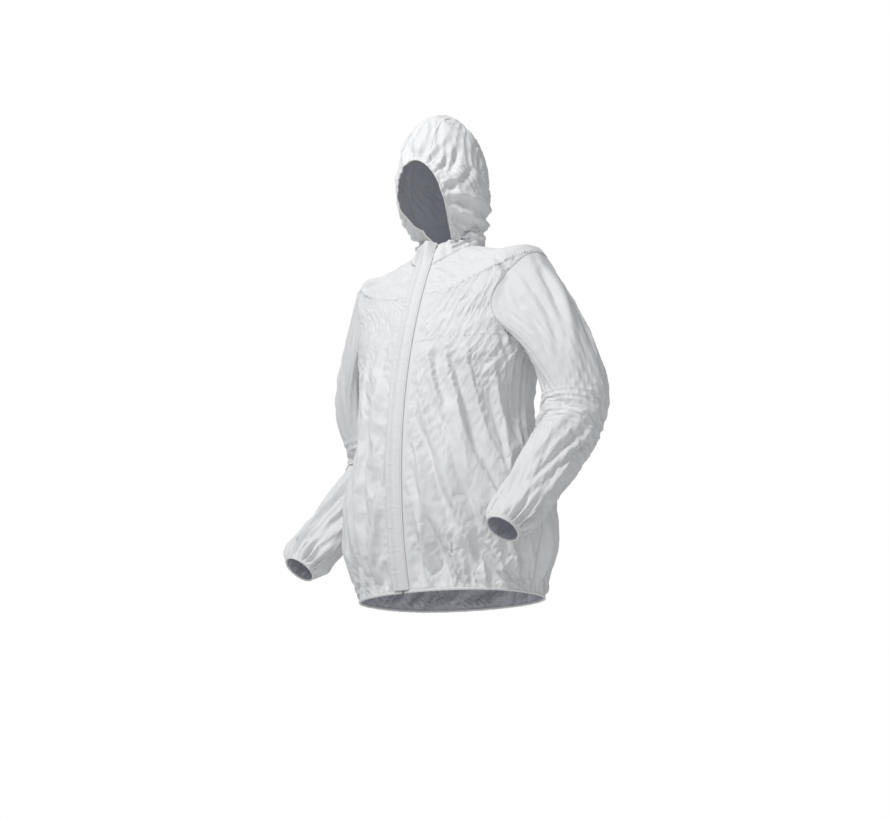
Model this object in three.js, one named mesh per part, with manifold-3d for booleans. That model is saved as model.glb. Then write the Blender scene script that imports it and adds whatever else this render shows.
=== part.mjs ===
// A hooded protective jacket of thin non-woven fabric, in the shape it takes when it is worn: two fronts,
// a back, two sleeves, a three-piece hood, a zip with a slider and pull, a storm flap over the zip, and
// elastic at the face, the wrists and the hem.
// Millimetres. +X is the wearer's left, +Y the back, +Z up. The origin is midway between the two
// side points of the neck, where the jacket hangs on the shoulders.
import * as THREE from "three";
import { mergeVertices } from "three/addons/utils/BufferGeometryUtils.js";
import Module from "manifold-3d";

const wasm = await Module();
wasm.setup();

// ---- Driving dimensions ----
const wall = 1.5; // stands in for the fabric's thickness
const seamGap = 0.8; // between two panels sewn to each other
const clearance = 0.5; // between a piece and what it lies on

const bodyLength = 760; // side of the neck down to the hem
const hemHalfWidth = 205;
const hipHalfWidth = 232;
const waistHalfWidth = 202; // drawn in beside the elbows
const chestHalfWidth = 218;
const shoulderHalfWidth = 236;
const neckHalfWidth = 78;
const hemBack = 165; // how far back each level reaches
const hipBack = 176;
const chestBack = 132;
const neckBack = 82;
const armpitDrop = 225; // neck point down to the armpit
const shoulderDrop = 36; // neck point down to the shoulder tip
const neckFrontDrop = 45; // neck point down to the front of the neck seam
const bodySquareness = 2.25; // exponent of the body's cross-section, 2 is an ellipse

const frontRadius = 1150; // the centre front is an arc of this radius
const frontReach = 183; // the arc's furthest point in front of the origin
const frontReachDrop = 505; // and how far it is below the origin

const armholeDepth = 41; // degrees of the body's section that the armhole takes, each way
const upperSleeveRadius = 66;
const elbowRadius = 65;
const forearmRadius = 55;
const cuffRadius = 35;
const sleeveGap = 5.5; // between the armhole's edge and the sleeve's, so that the sleeve can be raised
const cuffGather = 45; // length over which the sleeve draws in to the cuff
const armholeShare = 0.4; // share of the sleeve's length over which it takes the armhole's shape
const armholeDraw = 2.2; // exponent: a higher one leaves the armhole's shape sooner

const hoodHalfWidth = 103;
const hoodHeight = 315; // above the neck point
const hoodWidestHeight = 148;
const hoodFront = 134;
const hoodBack = 79;
const hoodStripHalfWidth = 40; // half the width of the hood's middle panel
const faceTop = 186;
const faceBottom = 8;
const faceHalfAngle = 41; // degrees of the hood's section that the face opening takes, each way

const elasticWidth = 9;
const elasticThickness = 1.2;
const seamWidth = 6; // of the overlocked allowance inside each seam
const seamThickness = 1.6;
const seamClearance = 1.2; // between an allowance and the wall it is sewn to

const tapeWidth = 15;
const tapeThickness = 0.8;
const coilWidth = 2.4;
const coilThickness = 2.4;
const coilSlot = 1; // half the slot between the two coils, where the slider's web runs
const coilLift = 0.1; // between the coil and the tape it is woven into
const topStopLength = 2.4;
const endLength = 11; // of the pin and the box at the zip's foot
const sliderLength = 12;
const sliderWidth = 10;
const sliderPlate = 1.2;
const bailHeight = 2.7; // of the arch that holds the pull
const bailLength = 7;
const bailInset = 2; // from the slider's top
const bailThickness = 1.2; // of its legs, along the zip
const bailBar = 1; // half its width
const barThickness = 0.8;
const pullLength = 24;
const pullWidth = 6;
const pullThickness = 1;
const pullClearance = 0.5; // between the pull and the slider or its bail
const pinThickness = 1.6; // of the pull's bar under the bail
const eyeLength = 7.4; // of the pull's eye
const flapWidth = 42;
const flapThickness = 1.4;
const flapClearance = 1.8; // between the closed flap and the slider's bail
const flapFlare = 16; // how far its top stands off the neck
const flapSewnEdge = 19; // from the middle of the zip to the edge that is sewn
const labelWidth = 45;
const labelHeight = 30;

// The line of each arm, from the middle of its armhole, as if both were the left one.
const leftArm = { top: [80, 0, 0], upper: [98, 8, -115], elbow: [106, 24, -250], wrist: [67, -178, -525] };
const rightArm = { top: [122, -12, -10], upper: [98, 36, -130], elbow: [66, 84, -292], wrist: [126, -110, -543] };

// ---- Surfaces ----
const degrees = Math.PI / 180;
const vector = (x, y, z) => new THREE.Vector3(x, y, z);
const ease = (t) => THREE.MathUtils.smoothstep(t, 0, 1);

const frontCentre = { y: frontRadius - frontReach, z: -frontReachDrop };
const frontLine = (z) => frontCentre.y - Math.sqrt(frontRadius ** 2 - (z - frontCentre.z) ** 2);

// A ring of the body or the hood: half its width, where its side, front and back lie, and their heights.
const ring = (halfWidth, side, front, back, zFront, zSide, zBack) => [
  halfWidth, side, front, back, zFront, zSide, zBack,
];
const level = (halfWidth, side, back, z) => ring(halfWidth, side, frontLine(z), back, z, z, z);

const bodyRings = {
  hem: level(hemHalfWidth, 10, hemBack, -bodyLength),
  blouse: level(hipHalfWidth - 8, 6, hipBack - 1, -bodyLength + 60),
  hip: level(hipHalfWidth, 2, hipBack, -bodyLength + 170),
  waist: level(waistHalfWidth, 0, (hipBack + chestBack) / 2, -armpitDrop - 150),
  armpit: ring(chestHalfWidth, 0, frontLine(-armpitDrop - 5), chestBack, -armpitDrop - 5, -armpitDrop, -armpitDrop),
  shoulder: ring(shoulderHalfWidth, 14, frontLine(-120), chestBack - 18, -120, -shoulderDrop, -shoulderDrop - 25),
  yoke: ring((shoulderHalfWidth + neckHalfWidth) / 2, 3, frontLine(-78), neckBack + 18, -78, -shoulderDrop / 2, -18),
  neck: ring(neckHalfWidth, 2, frontLine(-neckFrontDrop), neckBack, -neckFrontDrop, 5, 25),
};
const hoodRings = {
  neck: bodyRings.neck,
  chin: ring(neckHalfWidth + 4, 2, frontLine(faceBottom), neckBack - 6, faceBottom, 40, 55),
  cheek: ring(hoodHalfWidth - 4, -12, -(hoodFront - 18), neckBack - 2, 88, 95, 105),
  widest: ring(hoodHalfWidth, -25, -hoodFront, hoodBack, hoodWidestHeight, hoodWidestHeight, hoodWidestHeight),
};

// Smooth interpolation through a set of rings, by the ring's number.
function throughRings(rings) {
  const values = Object.values(rings);
  const curve = new THREE.CubicInterpolant(
    values.map((_, i) => i), values.flat(), values[0].length, new Float64Array(values[0].length),
  );
  return (v) => {
    const at = [...curve.evaluate(THREE.MathUtils.clamp(v, 0, values.length - 1))];
    const [, , , , zFront] = at;
    if (zFront <= faceBottom) at[2] = frontLine(zFront); // the zip's line is a true arc
    return at;
  };
}
const ringNumber = (rings, name) => Object.keys(rings).indexOf(name);
const bodyRing = throughRings(bodyRings);
const hoodRing = throughRings(hoodRings);

// A point of a ring. The angle is 0 at the front, 90 at the wearer's left and 180 at the back.
function ringPoint([halfWidth, side, front, back, zFront, zSide, zBack], angle, squareness) {
  const sin = Math.sin(angle * degrees);
  const cos = Math.cos(angle * degrees);
  const across = Math.sign(sin) * Math.abs(sin) ** (2 / squareness);
  const along = Math.abs(cos) ** (2 / squareness);
  const end = cos > 0 ? front : back;
  const zEnd = cos > 0 ? zFront : zBack;
  return vector(halfWidth * across, side + (end - side) * along, zSide + (zEnd - zSide) * cos * cos);
}
const bodyPoint = (angle, v) => ringPoint(bodyRing(v), angle, bodySquareness);

// Below its widest ring the hood is a tube, and above it half an ellipsoid, up to v = widest + 1.
const hoodWidest = ringNumber(hoodRings, "widest");
const crown = hoodHeight - hoodWidestHeight;
function hoodPoint(angle, v) {
  if (v <= hoodWidest) return ringPoint(hoodRing(v), angle, 2);
  const rise = Math.sin((v - hoodWidest) * 90 * degrees);
  const shrink = Math.cos((v - hoodWidest) * 90 * degrees);
  const [halfWidth, side, front, back] = hoodRings.widest;
  const z = hoodWidestHeight + crown * rise;
  return ringPoint([halfWidth * shrink, side, side + (front - side) * shrink, side + (back - side) * shrink, z, z, z], angle, 2);
}
// The hood ring's number for a height on the front of the ellipsoid.
const crownNumber = (z) => hoodWidest + Math.asin(THREE.MathUtils.clamp((z - hoodWidestHeight) / crown, -1, 1)) / degrees / 90;

const armpit = ringNumber(bodyRings, "armpit");
const shoulder = ringNumber(bodyRings, "shoulder");
const neck = ringNumber(bodyRings, "neck");
// The armhole, from the shoulder tip at 0 over the front at 90 to the armpit at 180 and up the back.
const armholeAt = (turn) => ({
  angle: 90 - armholeDepth * Math.sin(turn * degrees),
  v: (armpit + shoulder) / 2 + ((shoulder - armpit) / 2) * Math.cos(turn * degrees),
});
const armholePoint = (turn) => {
  const { angle, v } = armholeAt(turn);
  return bodyPoint(angle, v);
};

// ---- Solids ----
// A closed geometry from a list of points and faces, with its faces turned to point out.
function closedGeometry(points, faces) {
  const volume = faces.reduce((sum, [a, b, c]) => sum + points[a].dot(points[b].clone().cross(points[c])), 0);
  const turned = volume < 0 ? faces.map(([a, b, c]) => [a, c, b]) : faces;
  const geometry = new THREE.BufferGeometry().setFromPoints(points);
  geometry.setIndex(turned.flat());
  geometry.computeVertexNormals();
  return geometry;
}

// The direction out of a grid of points, away from each row's inner point.
function gridNormals(grid, innerPoint, closed) {
  const rows = grid.length;
  const columns = grid[0].length;
  const normals = grid.map((row, i) =>
    row.map((_, j) => {
      const before = closed ? (j + columns - 1) % columns : Math.max(j - 1, 0);
      const after = closed ? (j + 1) % columns : Math.min(j + 1, columns - 1);
      const across = row[after].clone().sub(row[before]);
      const up = grid[Math.min(i + 1, rows - 1)][j].clone().sub(grid[Math.max(i - 1, 0)][j]);
      return across.cross(up).normalize();
    }),
  );
  const outward = normals.flat().reduce((sum, normal, k) => {
    const i = Math.floor(k / columns);
    return sum + normal.dot(grid[i][k % columns].clone().sub(innerPoint(i)));
  }, 0);
  return outward < 0 ? normals.map((row) => row.map((n) => n.negate())) : normals;
}

// A curved sheet: its outer face is the grid, and its inner face lies a thickness inside.
// flatRows are rows whose rim lies in the plane with that normal, such as the hem's.
function sheet(grid, innerPoint, { closed = false, thickness = wall, flatRows = {} } = {}) {
  const rows = grid.length;
  const columns = grid[0].length;
  const normals = gridNormals(grid, innerPoint, closed);
  for (const [row, plane] of Object.entries(flatRows)) {
    normals[row].forEach((normal) => normal.projectOnPlane(plane).normalize());
  }
  const outer = grid.flat();
  const inner = outer.map((point, k) => point.clone().addScaledVector(normals.flat()[k], -thickness));
  const points = [...outer, ...inner];
  const at = (i, j, side) => side * rows * columns + i * columns + (j % columns);
  const faces = [];
  const quad = (a, b, c, d) => faces.push([a, b, c], [a, c, d]);
  const spans = closed ? columns : columns - 1;
  for (let i = 0; i < rows - 1; i++) {
    for (let j = 0; j < spans; j++) {
      quad(at(i, j, 0), at(i, j + 1, 0), at(i + 1, j + 1, 0), at(i + 1, j, 0));
      quad(at(i, j, 1), at(i + 1, j, 1), at(i + 1, j + 1, 1), at(i, j + 1, 1));
    }
  }
  for (let j = 0; j < spans; j++) {
    quad(at(0, j, 0), at(0, j, 1), at(0, j + 1, 1), at(0, j + 1, 0));
    quad(at(rows - 1, j, 0), at(rows - 1, j + 1, 0), at(rows - 1, j + 1, 1), at(rows - 1, j, 1));
  }
  if (!closed) {
    for (let i = 0; i < rows - 1; i++) {
      quad(at(i, 0, 0), at(i + 1, 0, 0), at(i + 1, 0, 1), at(i, 0, 1));
      quad(at(i, columns - 1, 0), at(i, columns - 1, 1), at(i + 1, columns - 1, 1), at(i + 1, columns - 1, 0));
    }
  }
  return closedGeometry(points, faces);
}

// A flat band along a line of stations, each a point and the direction out of the fabric there.
// It lies from `from` to `from + thickness` inside the surface.
function band(stations, width, thickness, from, closed = false) {
  const count = stations.length;
  const points = stations.flatMap(({ point, out }, i) => {
    const next = stations[closed ? (i + 1) % count : Math.min(i + 1, count - 1)].point;
    const last = stations[closed ? (i + count - 1) % count : Math.max(i - 1, 0)].point;
    const across = next.clone().sub(last).cross(out).normalize();
    const corner = (side, depth) => point.clone().addScaledVector(across, (side * width) / 2).addScaledVector(out, -depth);
    return [corner(-1, from), corner(1, from), corner(1, from + thickness), corner(-1, from + thickness)];
  });
  const faces = [];
  const at = (i, k) => (i % count) * 4 + (k % 4);
  for (let i = 0; i < (closed ? count : count - 1); i++) {
    for (let k = 0; k < 4; k++) {
      faces.push([at(i, k), at(i, k + 1), at(i + 1, k + 1)], [at(i, k), at(i + 1, k + 1), at(i + 1, k)]);
    }
  }
  if (!closed) {
    faces.push([at(0, 0), at(0, 2), at(0, 1)], [at(0, 0), at(0, 3), at(0, 2)]);
    const end = count - 1;
    faces.push([at(end, 0), at(end, 1), at(end, 2)], [at(end, 0), at(end, 2), at(end, 3)]);
  }
  return closedGeometry(points, faces);
}

// Evenly spaced numbers from a to b, with both ends.
const steps = (a, b, count) => Array.from({ length: count + 1 }, (_, i) => a + ((b - a) * i) / count);

// A station of the body or the hood, with the direction out of it found by small steps.
function station(surface, angle, v) {
  const small = 0.01;
  const up = surface(angle, v + small).sub(surface(angle, v - small));
  const across = surface(angle + 1, v).sub(surface(angle - 1, v));
  return { point: surface(angle, v), out: across.cross(up).normalize() };
}

// ---- Materials ----
const finish = (color, roughness, metalness = 0) => new THREE.MeshStandardMaterial({ color, roughness, metalness, side: THREE.DoubleSide });
const fabric = finish(0xe8e8e6, 0.75);
const thread = finish(0xf2f2f0, 0.85);
const elastic = finish(0xe4e3df, 0.9);
const zipTape = finish(0xe9e9e7, 0.9);
const zipCoil = finish(0xdededc, 0.5);
const zipMetal = finish(0xd9d9d7, 0.35, 0.1);
const labelCloth = finish(0xf4f4f2, 0.7);

const jacket = new THREE.Group();
function place(name, geometry, material, mirrored = false) {
  const mesh = new THREE.Mesh(geometry, material);
  mesh.name = name;
  if (mirrored) mesh.scale.x = -1;
  jacket.add(mesh);
  return mesh;
}
const sides = [["left", false], ["right", true]];
const onBothSides = (name, geometry, material) =>
  sides.forEach(([side, mirrored]) => place(`${name}_${side}`, geometry, material, mirrored));

// ---- Body panels ----
// A panel: its grid of points and the directions out of it.
function panel(grid, innerPoint, closed = false) {
  return { grid, innerPoint, closed, normals: gridNormals(grid, innerPoint, closed) };
}
const mirrored = ({ grid, normals, ...rest }) => {
  const flip = (rows) => rows.map((row) => row.map(({ x, y, z }) => vector(-x, y, z)));
  return { ...rest, grid: flip(grid), normals: flip(normals) };
};
const sheetOf = ({ grid, innerPoint, closed }, flatRows) => sheet(grid, innerPoint, { closed, flatRows });

// A station on a panel, moved a distance towards another point of its grid.
function stationOn({ grid, normals }, i, j, toI = i, toJ = j, inset = 0) {
  const row = i < 0 ? grid.length + i : i;
  const column = j < 0 ? grid[row].length + j : j;
  const towards = grid[toI < 0 ? grid.length + toI : toI][toJ < 0 ? grid[row].length + toJ : toJ];
  const away = towards.clone().sub(grid[row][column]);
  const point = grid[row][column].clone();
  if (inset) point.addScaledVector(away.normalize(), inset);
  return { point, out: normals[row][column].clone() };
}
const halfway = (a, b) => ({ point: a.point.lerp(b.point, 0.5), out: a.out.add(b.out).normalize() });

const bodyInside = () => vector(0, 0, -bodyLength / 2);
const hemPlane = vector(0, 0, 1);
const zipHalfOpening = coilSlot + coilWidth + clearance; // where the fronts stop, each side of the zip
const tapeEdge = coilSlot + tapeWidth;

// The angle of a ring at which its front passes x, by halving.
function angleAtX(surface, x, v) {
  let low = 0;
  let high = 90;
  for (let i = 0; i < 40; i++) {
    const middle = (low + high) / 2;
    if (surface(middle, v).x < x) low = middle;
    else high = middle;
  }
  return low;
}
// The width of half a seam's gap at a ring, in degrees of its section.
const gapAngle = (surface, angle, v) => seamGap / 2 / surface(angle + 1, v).distanceTo(surface(angle, v));

// The ring numbers of a panel's rows: hem to armpit, the armhole, and shoulder to neck.
const armholeRows = 8;
const rowsBelowArmpit = 16;
const neckGap = 0.012; // in rings
const bodyRows = [
  ...steps(0, armpit, rowsBelowArmpit).slice(0, -1),
  ...steps(180, 0, armholeRows).map((turn) => armholeAt(turn).v),
  ...steps(shoulder, neck - neckGap, 4).slice(1),
];
// How far an armhole reaches into a panel at a row, in degrees.
function armholeReach(v) {
  const across = (v - (armpit + shoulder) / 2) / ((shoulder - armpit) / 2);
  return Math.abs(across) < 1 ? armholeDepth * Math.sqrt(1 - across * across) : 0;
}
const panelColumns = 8;
const fromZip = (surface, v, edge, columns) => [
  angleAtX(surface, zipHalfOpening, v),
  ...steps(angleAtX(surface, tapeEdge + clearance, v), edge, columns),
];
const frontLeft = panel(bodyRows.map((v) => {
  const edge = 90 - armholeReach(v);
  return fromZip(bodyPoint, v, edge - gapAngle(bodyPoint, edge, v), panelColumns - 1).map((a) => bodyPoint(a, v));
}), bodyInside);
const frontRight = mirrored(frontLeft);
const back = panel(bodyRows.map((v) => {
  const edge = 90 + armholeReach(v);
  const start = edge + gapAngle(bodyPoint, edge, v);
  return steps(start, 360 - start, 2 * panelColumns).map((a) => bodyPoint(a, v));
}), bodyInside);
onBothSides("front_panel", sheetOf(frontLeft, { 0: hemPlane }), fabric);
place("back_panel", sheetOf(back, { 0: hemPlane }), fabric);

// ---- Sleeves ----
const sleeveTurns = 16;
const sleeveRows = 18;
// The sleeve's surface: along runs from 0 at the armhole to 1 at the cuff, turn is as at the armhole.
function sleeveSurface(arm) {
  const turns = steps(0, 360, 36).slice(0, -1);
  const middle = turns.reduce((sum, turn) => sum.add(armholePoint(turn)), vector(0, 0, 0)).divideScalar(turns.length);
  const [top, upper, elbow, wrist] = Object.values(arm).map((point) => middle.clone().add(vector(...point)));
  const path = new THREE.CatmullRomCurve3([
    top,
    upper,
    upper.clone().lerp(elbow, 0.75),
    elbow.clone().lerp(wrist, 0.15),
    elbow.clone().lerp(wrist, 0.6),
    wrist,
  ], false, "centripetal");
  const length = path.getLength();
  const elbowAlong = (top.distanceTo(upper) + upper.distanceTo(elbow)) / length;
  const radiusAt = (along) => {
    const toElbow = THREE.MathUtils.lerp(upperSleeveRadius, elbowRadius, ease(along / elbowAlong));
    const toWrist = THREE.MathUtils.lerp(toElbow, forearmRadius, ease((along - elbowAlong) / (1 - elbowAlong)));
    const gathered = ease((1 - along) * (length / cuffGather));
    return cuffRadius + (toWrist - cuffRadius) * Math.sqrt(gathered);
  };
  const frame = (along) => {
    const axis = path.getPointAt(along);
    const down = path.getTangentAt(along);
    const out = vector(1, 0, 0).projectOnPlane(down).normalize();
    const front = out.clone().cross(down).normalize();
    return { axis, out, front: front.y > 0 ? front.negate() : front, down };
  };
  const tube = (turn, along) => {
    const { axis, out, front } = frame(along);
    const radius = radiusAt(along);
    return axis.addScaledVector(out, radius * Math.cos(turn * degrees)).addScaledVector(front, radius * Math.sin(turn * degrees));
  };
  const point = (turn, along) => {
    const pull = Math.max(1 - along / armholeShare, 0) ** armholeDraw;
    const toArmhole = armholePoint(turn).sub(tube(turn, 0));
    return tube(turn, along).addScaledVector(toArmhole, pull);
  };
  return { point, frame, length };
}

const gatherRows = 5;
function sleevePanel(arm) {
  const { point, frame, length } = sleeveSurface(arm);
  const start = sleeveGap / length;
  const gather = 1 - cuffGather / length;
  const rows = [...steps(start, gather, sleeveRows - gatherRows), ...steps(gather, 1, gatherRows).slice(1)];
  const grid = rows.map((along) => steps(0, 360, sleeveTurns).slice(0, -1).map((turn) => point(turn, along)));
  return { sleeve: panel(grid, (i) => frame(rows[i]).axis, true), cuffPlane: frame(1).down };
}
// The cuff's elastic lies inside the last stretch of the sleeve.
function cuffElastic(sleeve, cuffPlane) {
  const stations = steps(0, sleeveTurns, sleeveTurns).slice(0, -1).map((j) => {
    const { point, out } = stationOn(sleeve, -1, j, -2, j, elasticWidth / 2 + 1);
    return { point, out: out.projectOnPlane(cuffPlane).normalize() };
  });
  const slack = elasticWidth * 0.75; // the sleeve narrows towards its end, so the band sits further in
  return band(stations, elasticWidth, elasticThickness, wall + slack, true);
}
// The seam under the arm, from below the armpit to where the cuff draws in.
function sleeveSeam(sleeve) {
  const rows = steps(3, sleeveRows - gatherRows, sleeveRows - gatherRows - 3);
  return band(rows.map((i) => stationOn(sleeve, i, sleeveTurns / 2)), seamWidth, seamThickness, wall + seamClearance);
}
const arms = [["left", leftArm, false], ["right", rightArm, true]];
for (const [side, arm, flipped] of arms) {
  const { sleeve, cuffPlane } = sleevePanel(arm);
  place(`sleeve_${side}`, sheetOf(sleeve, { [sleeveRows]: cuffPlane }), fabric, flipped);
  place(`cuff_elastic_${side}`, cuffElastic(sleeve, cuffPlane), elastic, flipped);
  place(`sleeve_seam_${side}`, sleeveSeam(sleeve), thread, flipped);
}

// ---- Hood ----
const chin = ringNumber(hoodRings, "chin");
const forehead = crownNumber(faceTop);
const hoodInside = () => vector(0, -25, hoodWidestHeight / 2);
// The face opening's edge at a ring, in degrees from the front.
function faceReach(v) {
  const across = (v - (chin + forehead) / 2) / ((forehead - chin) / 2);
  return Math.abs(across) < 1 ? faceHalfAngle * Math.sqrt(1 - across * across) : 0;
}
// The edge of the hood's middle panel at a ring, in degrees from the back.
const stripReach = (v, gap = 0) => {
  const halfWidth = hoodPoint(90, v).x;
  return Math.asin(Math.min((hoodStripHalfWidth + gap) / halfWidth, 1)) / degrees;
};
const stripEnd = hoodWidest + Math.acos((hoodStripHalfWidth + seamGap) / hoodHalfWidth) / degrees / 90;
// The hood's rows: round the face, then over the crown to the point where the side panel ends.
const faceRows = 8;
const hoodRows = [
  ...steps(180, 0, faceRows).map((turn) => (chin + forehead) / 2 + ((forehead - chin) / 2) * Math.cos(turn * degrees)),
  ...steps(forehead, stripEnd - 0.02, 5).slice(1),
];
const hoodGap = 0.012; // in rings, between the fold of the hood and its moving part
const hoodColumns = 9;
function hoodSide(rows) {
  return panel(rows.map((v) => {
    const stripEdge = stripReach(v, seamGap / 2);
    const zipEdge = angleAtX(hoodPoint, zipHalfOpening, v);
    const aboveFace = v > forehead - 0.001;
    const start = aboveFace ? stripEdge : Math.max(faceReach(v), zipEdge);
    const tape = angleAtX(hoodPoint, tapeEdge + clearance, v);
    const second = aboveFace ? THREE.MathUtils.lerp(start, 180 - stripEdge, 0.05) : Math.max(start + 2, tape);
    return [start, ...steps(second, 180 - stripEdge, hoodColumns)].map((a) => hoodPoint(a, v));
  }), hoodInside);
}
// A row of the middle panel, across the back or over the crown, where theta goes from 0 at the back to 180
// at the front as seen from the side.
const stripHalf = hoodStripHalfWidth - seamGap / 2;
const stripAcross = steps(-stripHalf, stripHalf, 6);
const napeRow = (v) => stripAcross.map((x) => hoodPoint(180 - Math.asin(x / hoodPoint(90, v).x) / degrees, v));
function crownRow(v, atFront) {
  const [, side, front, back] = hoodRings.widest;
  const atEdge = Math.sqrt(1 - (stripHalf / hoodHalfWidth) ** 2);
  const lift = Math.min((hoodPoint(90, v).z - hoodWidestHeight) / crown / atEdge, 1);
  const end = atFront ? front : back;
  return stripAcross.map((x) => {
    const across = Math.sqrt(1 - (x / hoodHalfWidth) ** 2);
    return vector(x, side + (end - side) * across * Math.sqrt(1 - lift * lift), hoodWidestHeight + crown * across * lift);
  });
}
const moving = [chin + hoodGap, ...hoodRows.slice(1)];
const overCrown = moving.filter((v) => v >= forehead - 0.001);
const downBack = moving.filter((v) => v > hoodWidest).reverse();
const hoodLeft = hoodSide(moving);
const hoodRight = mirrored(hoodLeft);
const hoodMiddle = panel([
  ...overCrown.map((v) => crownRow(v, true)),
  crownRow(hoodWidest + 1, true),
  ...downBack.map((v) => crownRow(v, false)),
  ...moving.filter((v) => v <= hoodWidest).reverse().map(napeRow),
], hoodInside);
onBothSides("hood_side", sheetOf(hoodLeft), fabric);
place("hood_middle", sheetOf(hoodMiddle), fabric);

// Below the line where the hood folds back, the same panels stay with the body.
const standingRows = steps(hoodGap, chin, 3);
const neckLeft = hoodSide(standingRows);
const neckMiddle = panel(standingRows.map(napeRow), hoodInside);
onBothSides("hood_neck_side", sheetOf(neckLeft), fabric);
place("hood_neck_middle", sheetOf(neckMiddle), fabric);

// ---- Elastic of the hem and the face ----
function hemElastic() {
  const above = elasticWidth / 2 + 2;
  const ofFront = (side) => steps(2, panelColumns, panelColumns - 2).map((j) => stationOn(side, 0, j, 1, j, above));
  const ofBack = steps(1, 2 * panelColumns - 1, 2 * panelColumns - 2).map((j) => stationOn(back, 0, j, 1, j, above));
  return band([...ofFront(frontLeft), ...ofBack, ...ofFront(frontRight).reverse()], elasticWidth, elasticThickness, wall + seamClearance);
}
const faceElasticWidth = elasticWidth * 0.6;
function faceElastic() {
  const inset = faceElasticWidth / 2 + 1;
  const ofSide = (side) => steps(1, faceRows - 1, faceRows - 2).map((i) => stationOn(side, i, 0, i, 1, inset));
  const ofTop = stripAcross.map((_, j) => stationOn(hoodMiddle, 0, j, 1, j, inset)).slice(1, -1);
  return band([...ofSide(hoodRight), ...ofTop, ...ofSide(hoodLeft).reverse()], faceElasticWidth, elasticThickness, wall + seamClearance);
}
place("hem_elastic", hemElastic(), elastic);
place("face_elastic", faceElastic(), elastic);

// ---- Sewn seams: the overlocked allowance inside each joined edge ----
const seam = (stations, closed = false) => band(stations, seamWidth, seamThickness, wall + seamClearance, closed);
const atSide = (i) => halfway(stationOn(frontLeft, i, -1), stationOn(back, i, 0));
const shoulderRow = rowsBelowArmpit + armholeRows;
onBothSides("side_seam", seam(steps(1, rowsBelowArmpit - 1, rowsBelowArmpit - 2).map(atSide)), thread);
onBothSides("shoulder_seam", seam(steps(shoulderRow + 1, shoulderRow + 3, 2).map(atSide)), thread);
function armholeSeam() {
  const inset = seamWidth / 2 + 1;
  const rows = steps(rowsBelowArmpit + 1, shoulderRow - 1, armholeRows - 2);
  const ofFront = rows.map((i) => stationOn(frontLeft, i, -1, i, -2, inset));
  const ofBack = rows.map((i) => stationOn(back, i, 0, i, 1, inset)).reverse();
  return band([...ofFront, ...ofBack], seamWidth, seamThickness, wall + 2 * seamClearance);
}
onBothSides("armhole_seam", armholeSeam(), thread);
const upFront = overCrown.map((v) => moving.indexOf(v));
const downNape = moving.map((_, i) => i).slice(1).reverse();
onBothSides("hood_seam", seam([
  ...upFront.slice(1, -1).map((i) => halfway(stationOn(hoodLeft, i, 0), stationOn(hoodMiddle, i - upFront[0], -1))),
  ...downNape.map((i, k) => halfway(stationOn(hoodLeft, i, -1), stationOn(hoodMiddle, overCrown.length + 1 + k, -1))),
]), thread);
function neckSeam() {
  const below = seamWidth / 2 + 2;
  const ofFront = (side) => steps(2, panelColumns, panelColumns - 2).map((j) => stationOn(side, -1, j, -2, j, below));
  const ofBack = steps(1, 2 * panelColumns - 1, 2 * panelColumns - 2).map((j) => stationOn(back, -1, j, -2, j, below));
  return seam([...ofFront(frontLeft), ...ofBack, ...ofFront(frontRight).reverse()]);
}
place("neck_seam", neckSeam(), thread);

// ---- Zip ----
// A strip along the centre front: a profile of [x, height] points, with height out of the fabric,
// carried along the front arc between two heights, with its corners where the panels have theirs.
const frontCorners = [...bodyRows.map((v) => bodyRing(v)[4]), ...standingRows.map((v) => hoodRing(v)[4])];
function alongFront(profile, zTop, zBottom, lift = () => 0) {
  const between = frontCorners.filter((z) => z < zTop - 2 && z > zBottom + 2).reverse();
  const grid = [zTop, ...between, zBottom].map((level) => {
    const angle = Math.asin((level - frontCentre.z) / frontRadius);
    return profile.map(([x, height]) => {
      const reach = frontRadius + height;
      return vector(x, frontCentre.y - reach * Math.cos(angle) - lift(level), frontCentre.z + reach * Math.sin(angle));
    });
  });
  const points = grid.flat();
  const count = grid.length - 1;
  const corners = profile.length;
  const faces = [];
  for (let i = 0; i < count; i++) {
    for (let k = 0; k < corners; k++) {
      const [a, b] = [i * corners + k, i * corners + ((k + 1) % corners)];
      faces.push([a, b, b + corners], [a, b + corners, a + corners]);
    }
  }
  const outline = profile.map(([x, y]) => new THREE.Vector2(x, y));
  const last = count * corners;
  const turn = THREE.ShapeUtils.isClockWise(outline);
  THREE.ShapeUtils.triangulateShape(outline, []).forEach(([a, b, c]) => {
    const near = turn ? [a, b, c] : [a, c, b];
    faces.push(near, [near[0], near[2], near[1]].map((k) => k + last));
  });
  return closedGeometry(points, faces);
}
const rectangle = (x0, x1, low, high) => [[x0, low], [x1, low], [x1, high], [x0, high]];

const zipTop = faceBottom - 4;
const zipBottom = -bodyLength + 14;
const tapeFace = -wall - clearance; // the tape is sewn behind the fronts' edges
const coilFace = tapeFace + clearance / 2; // the coil stands on the tape's front
const coilTop = coilFace + coilThickness;
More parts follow.
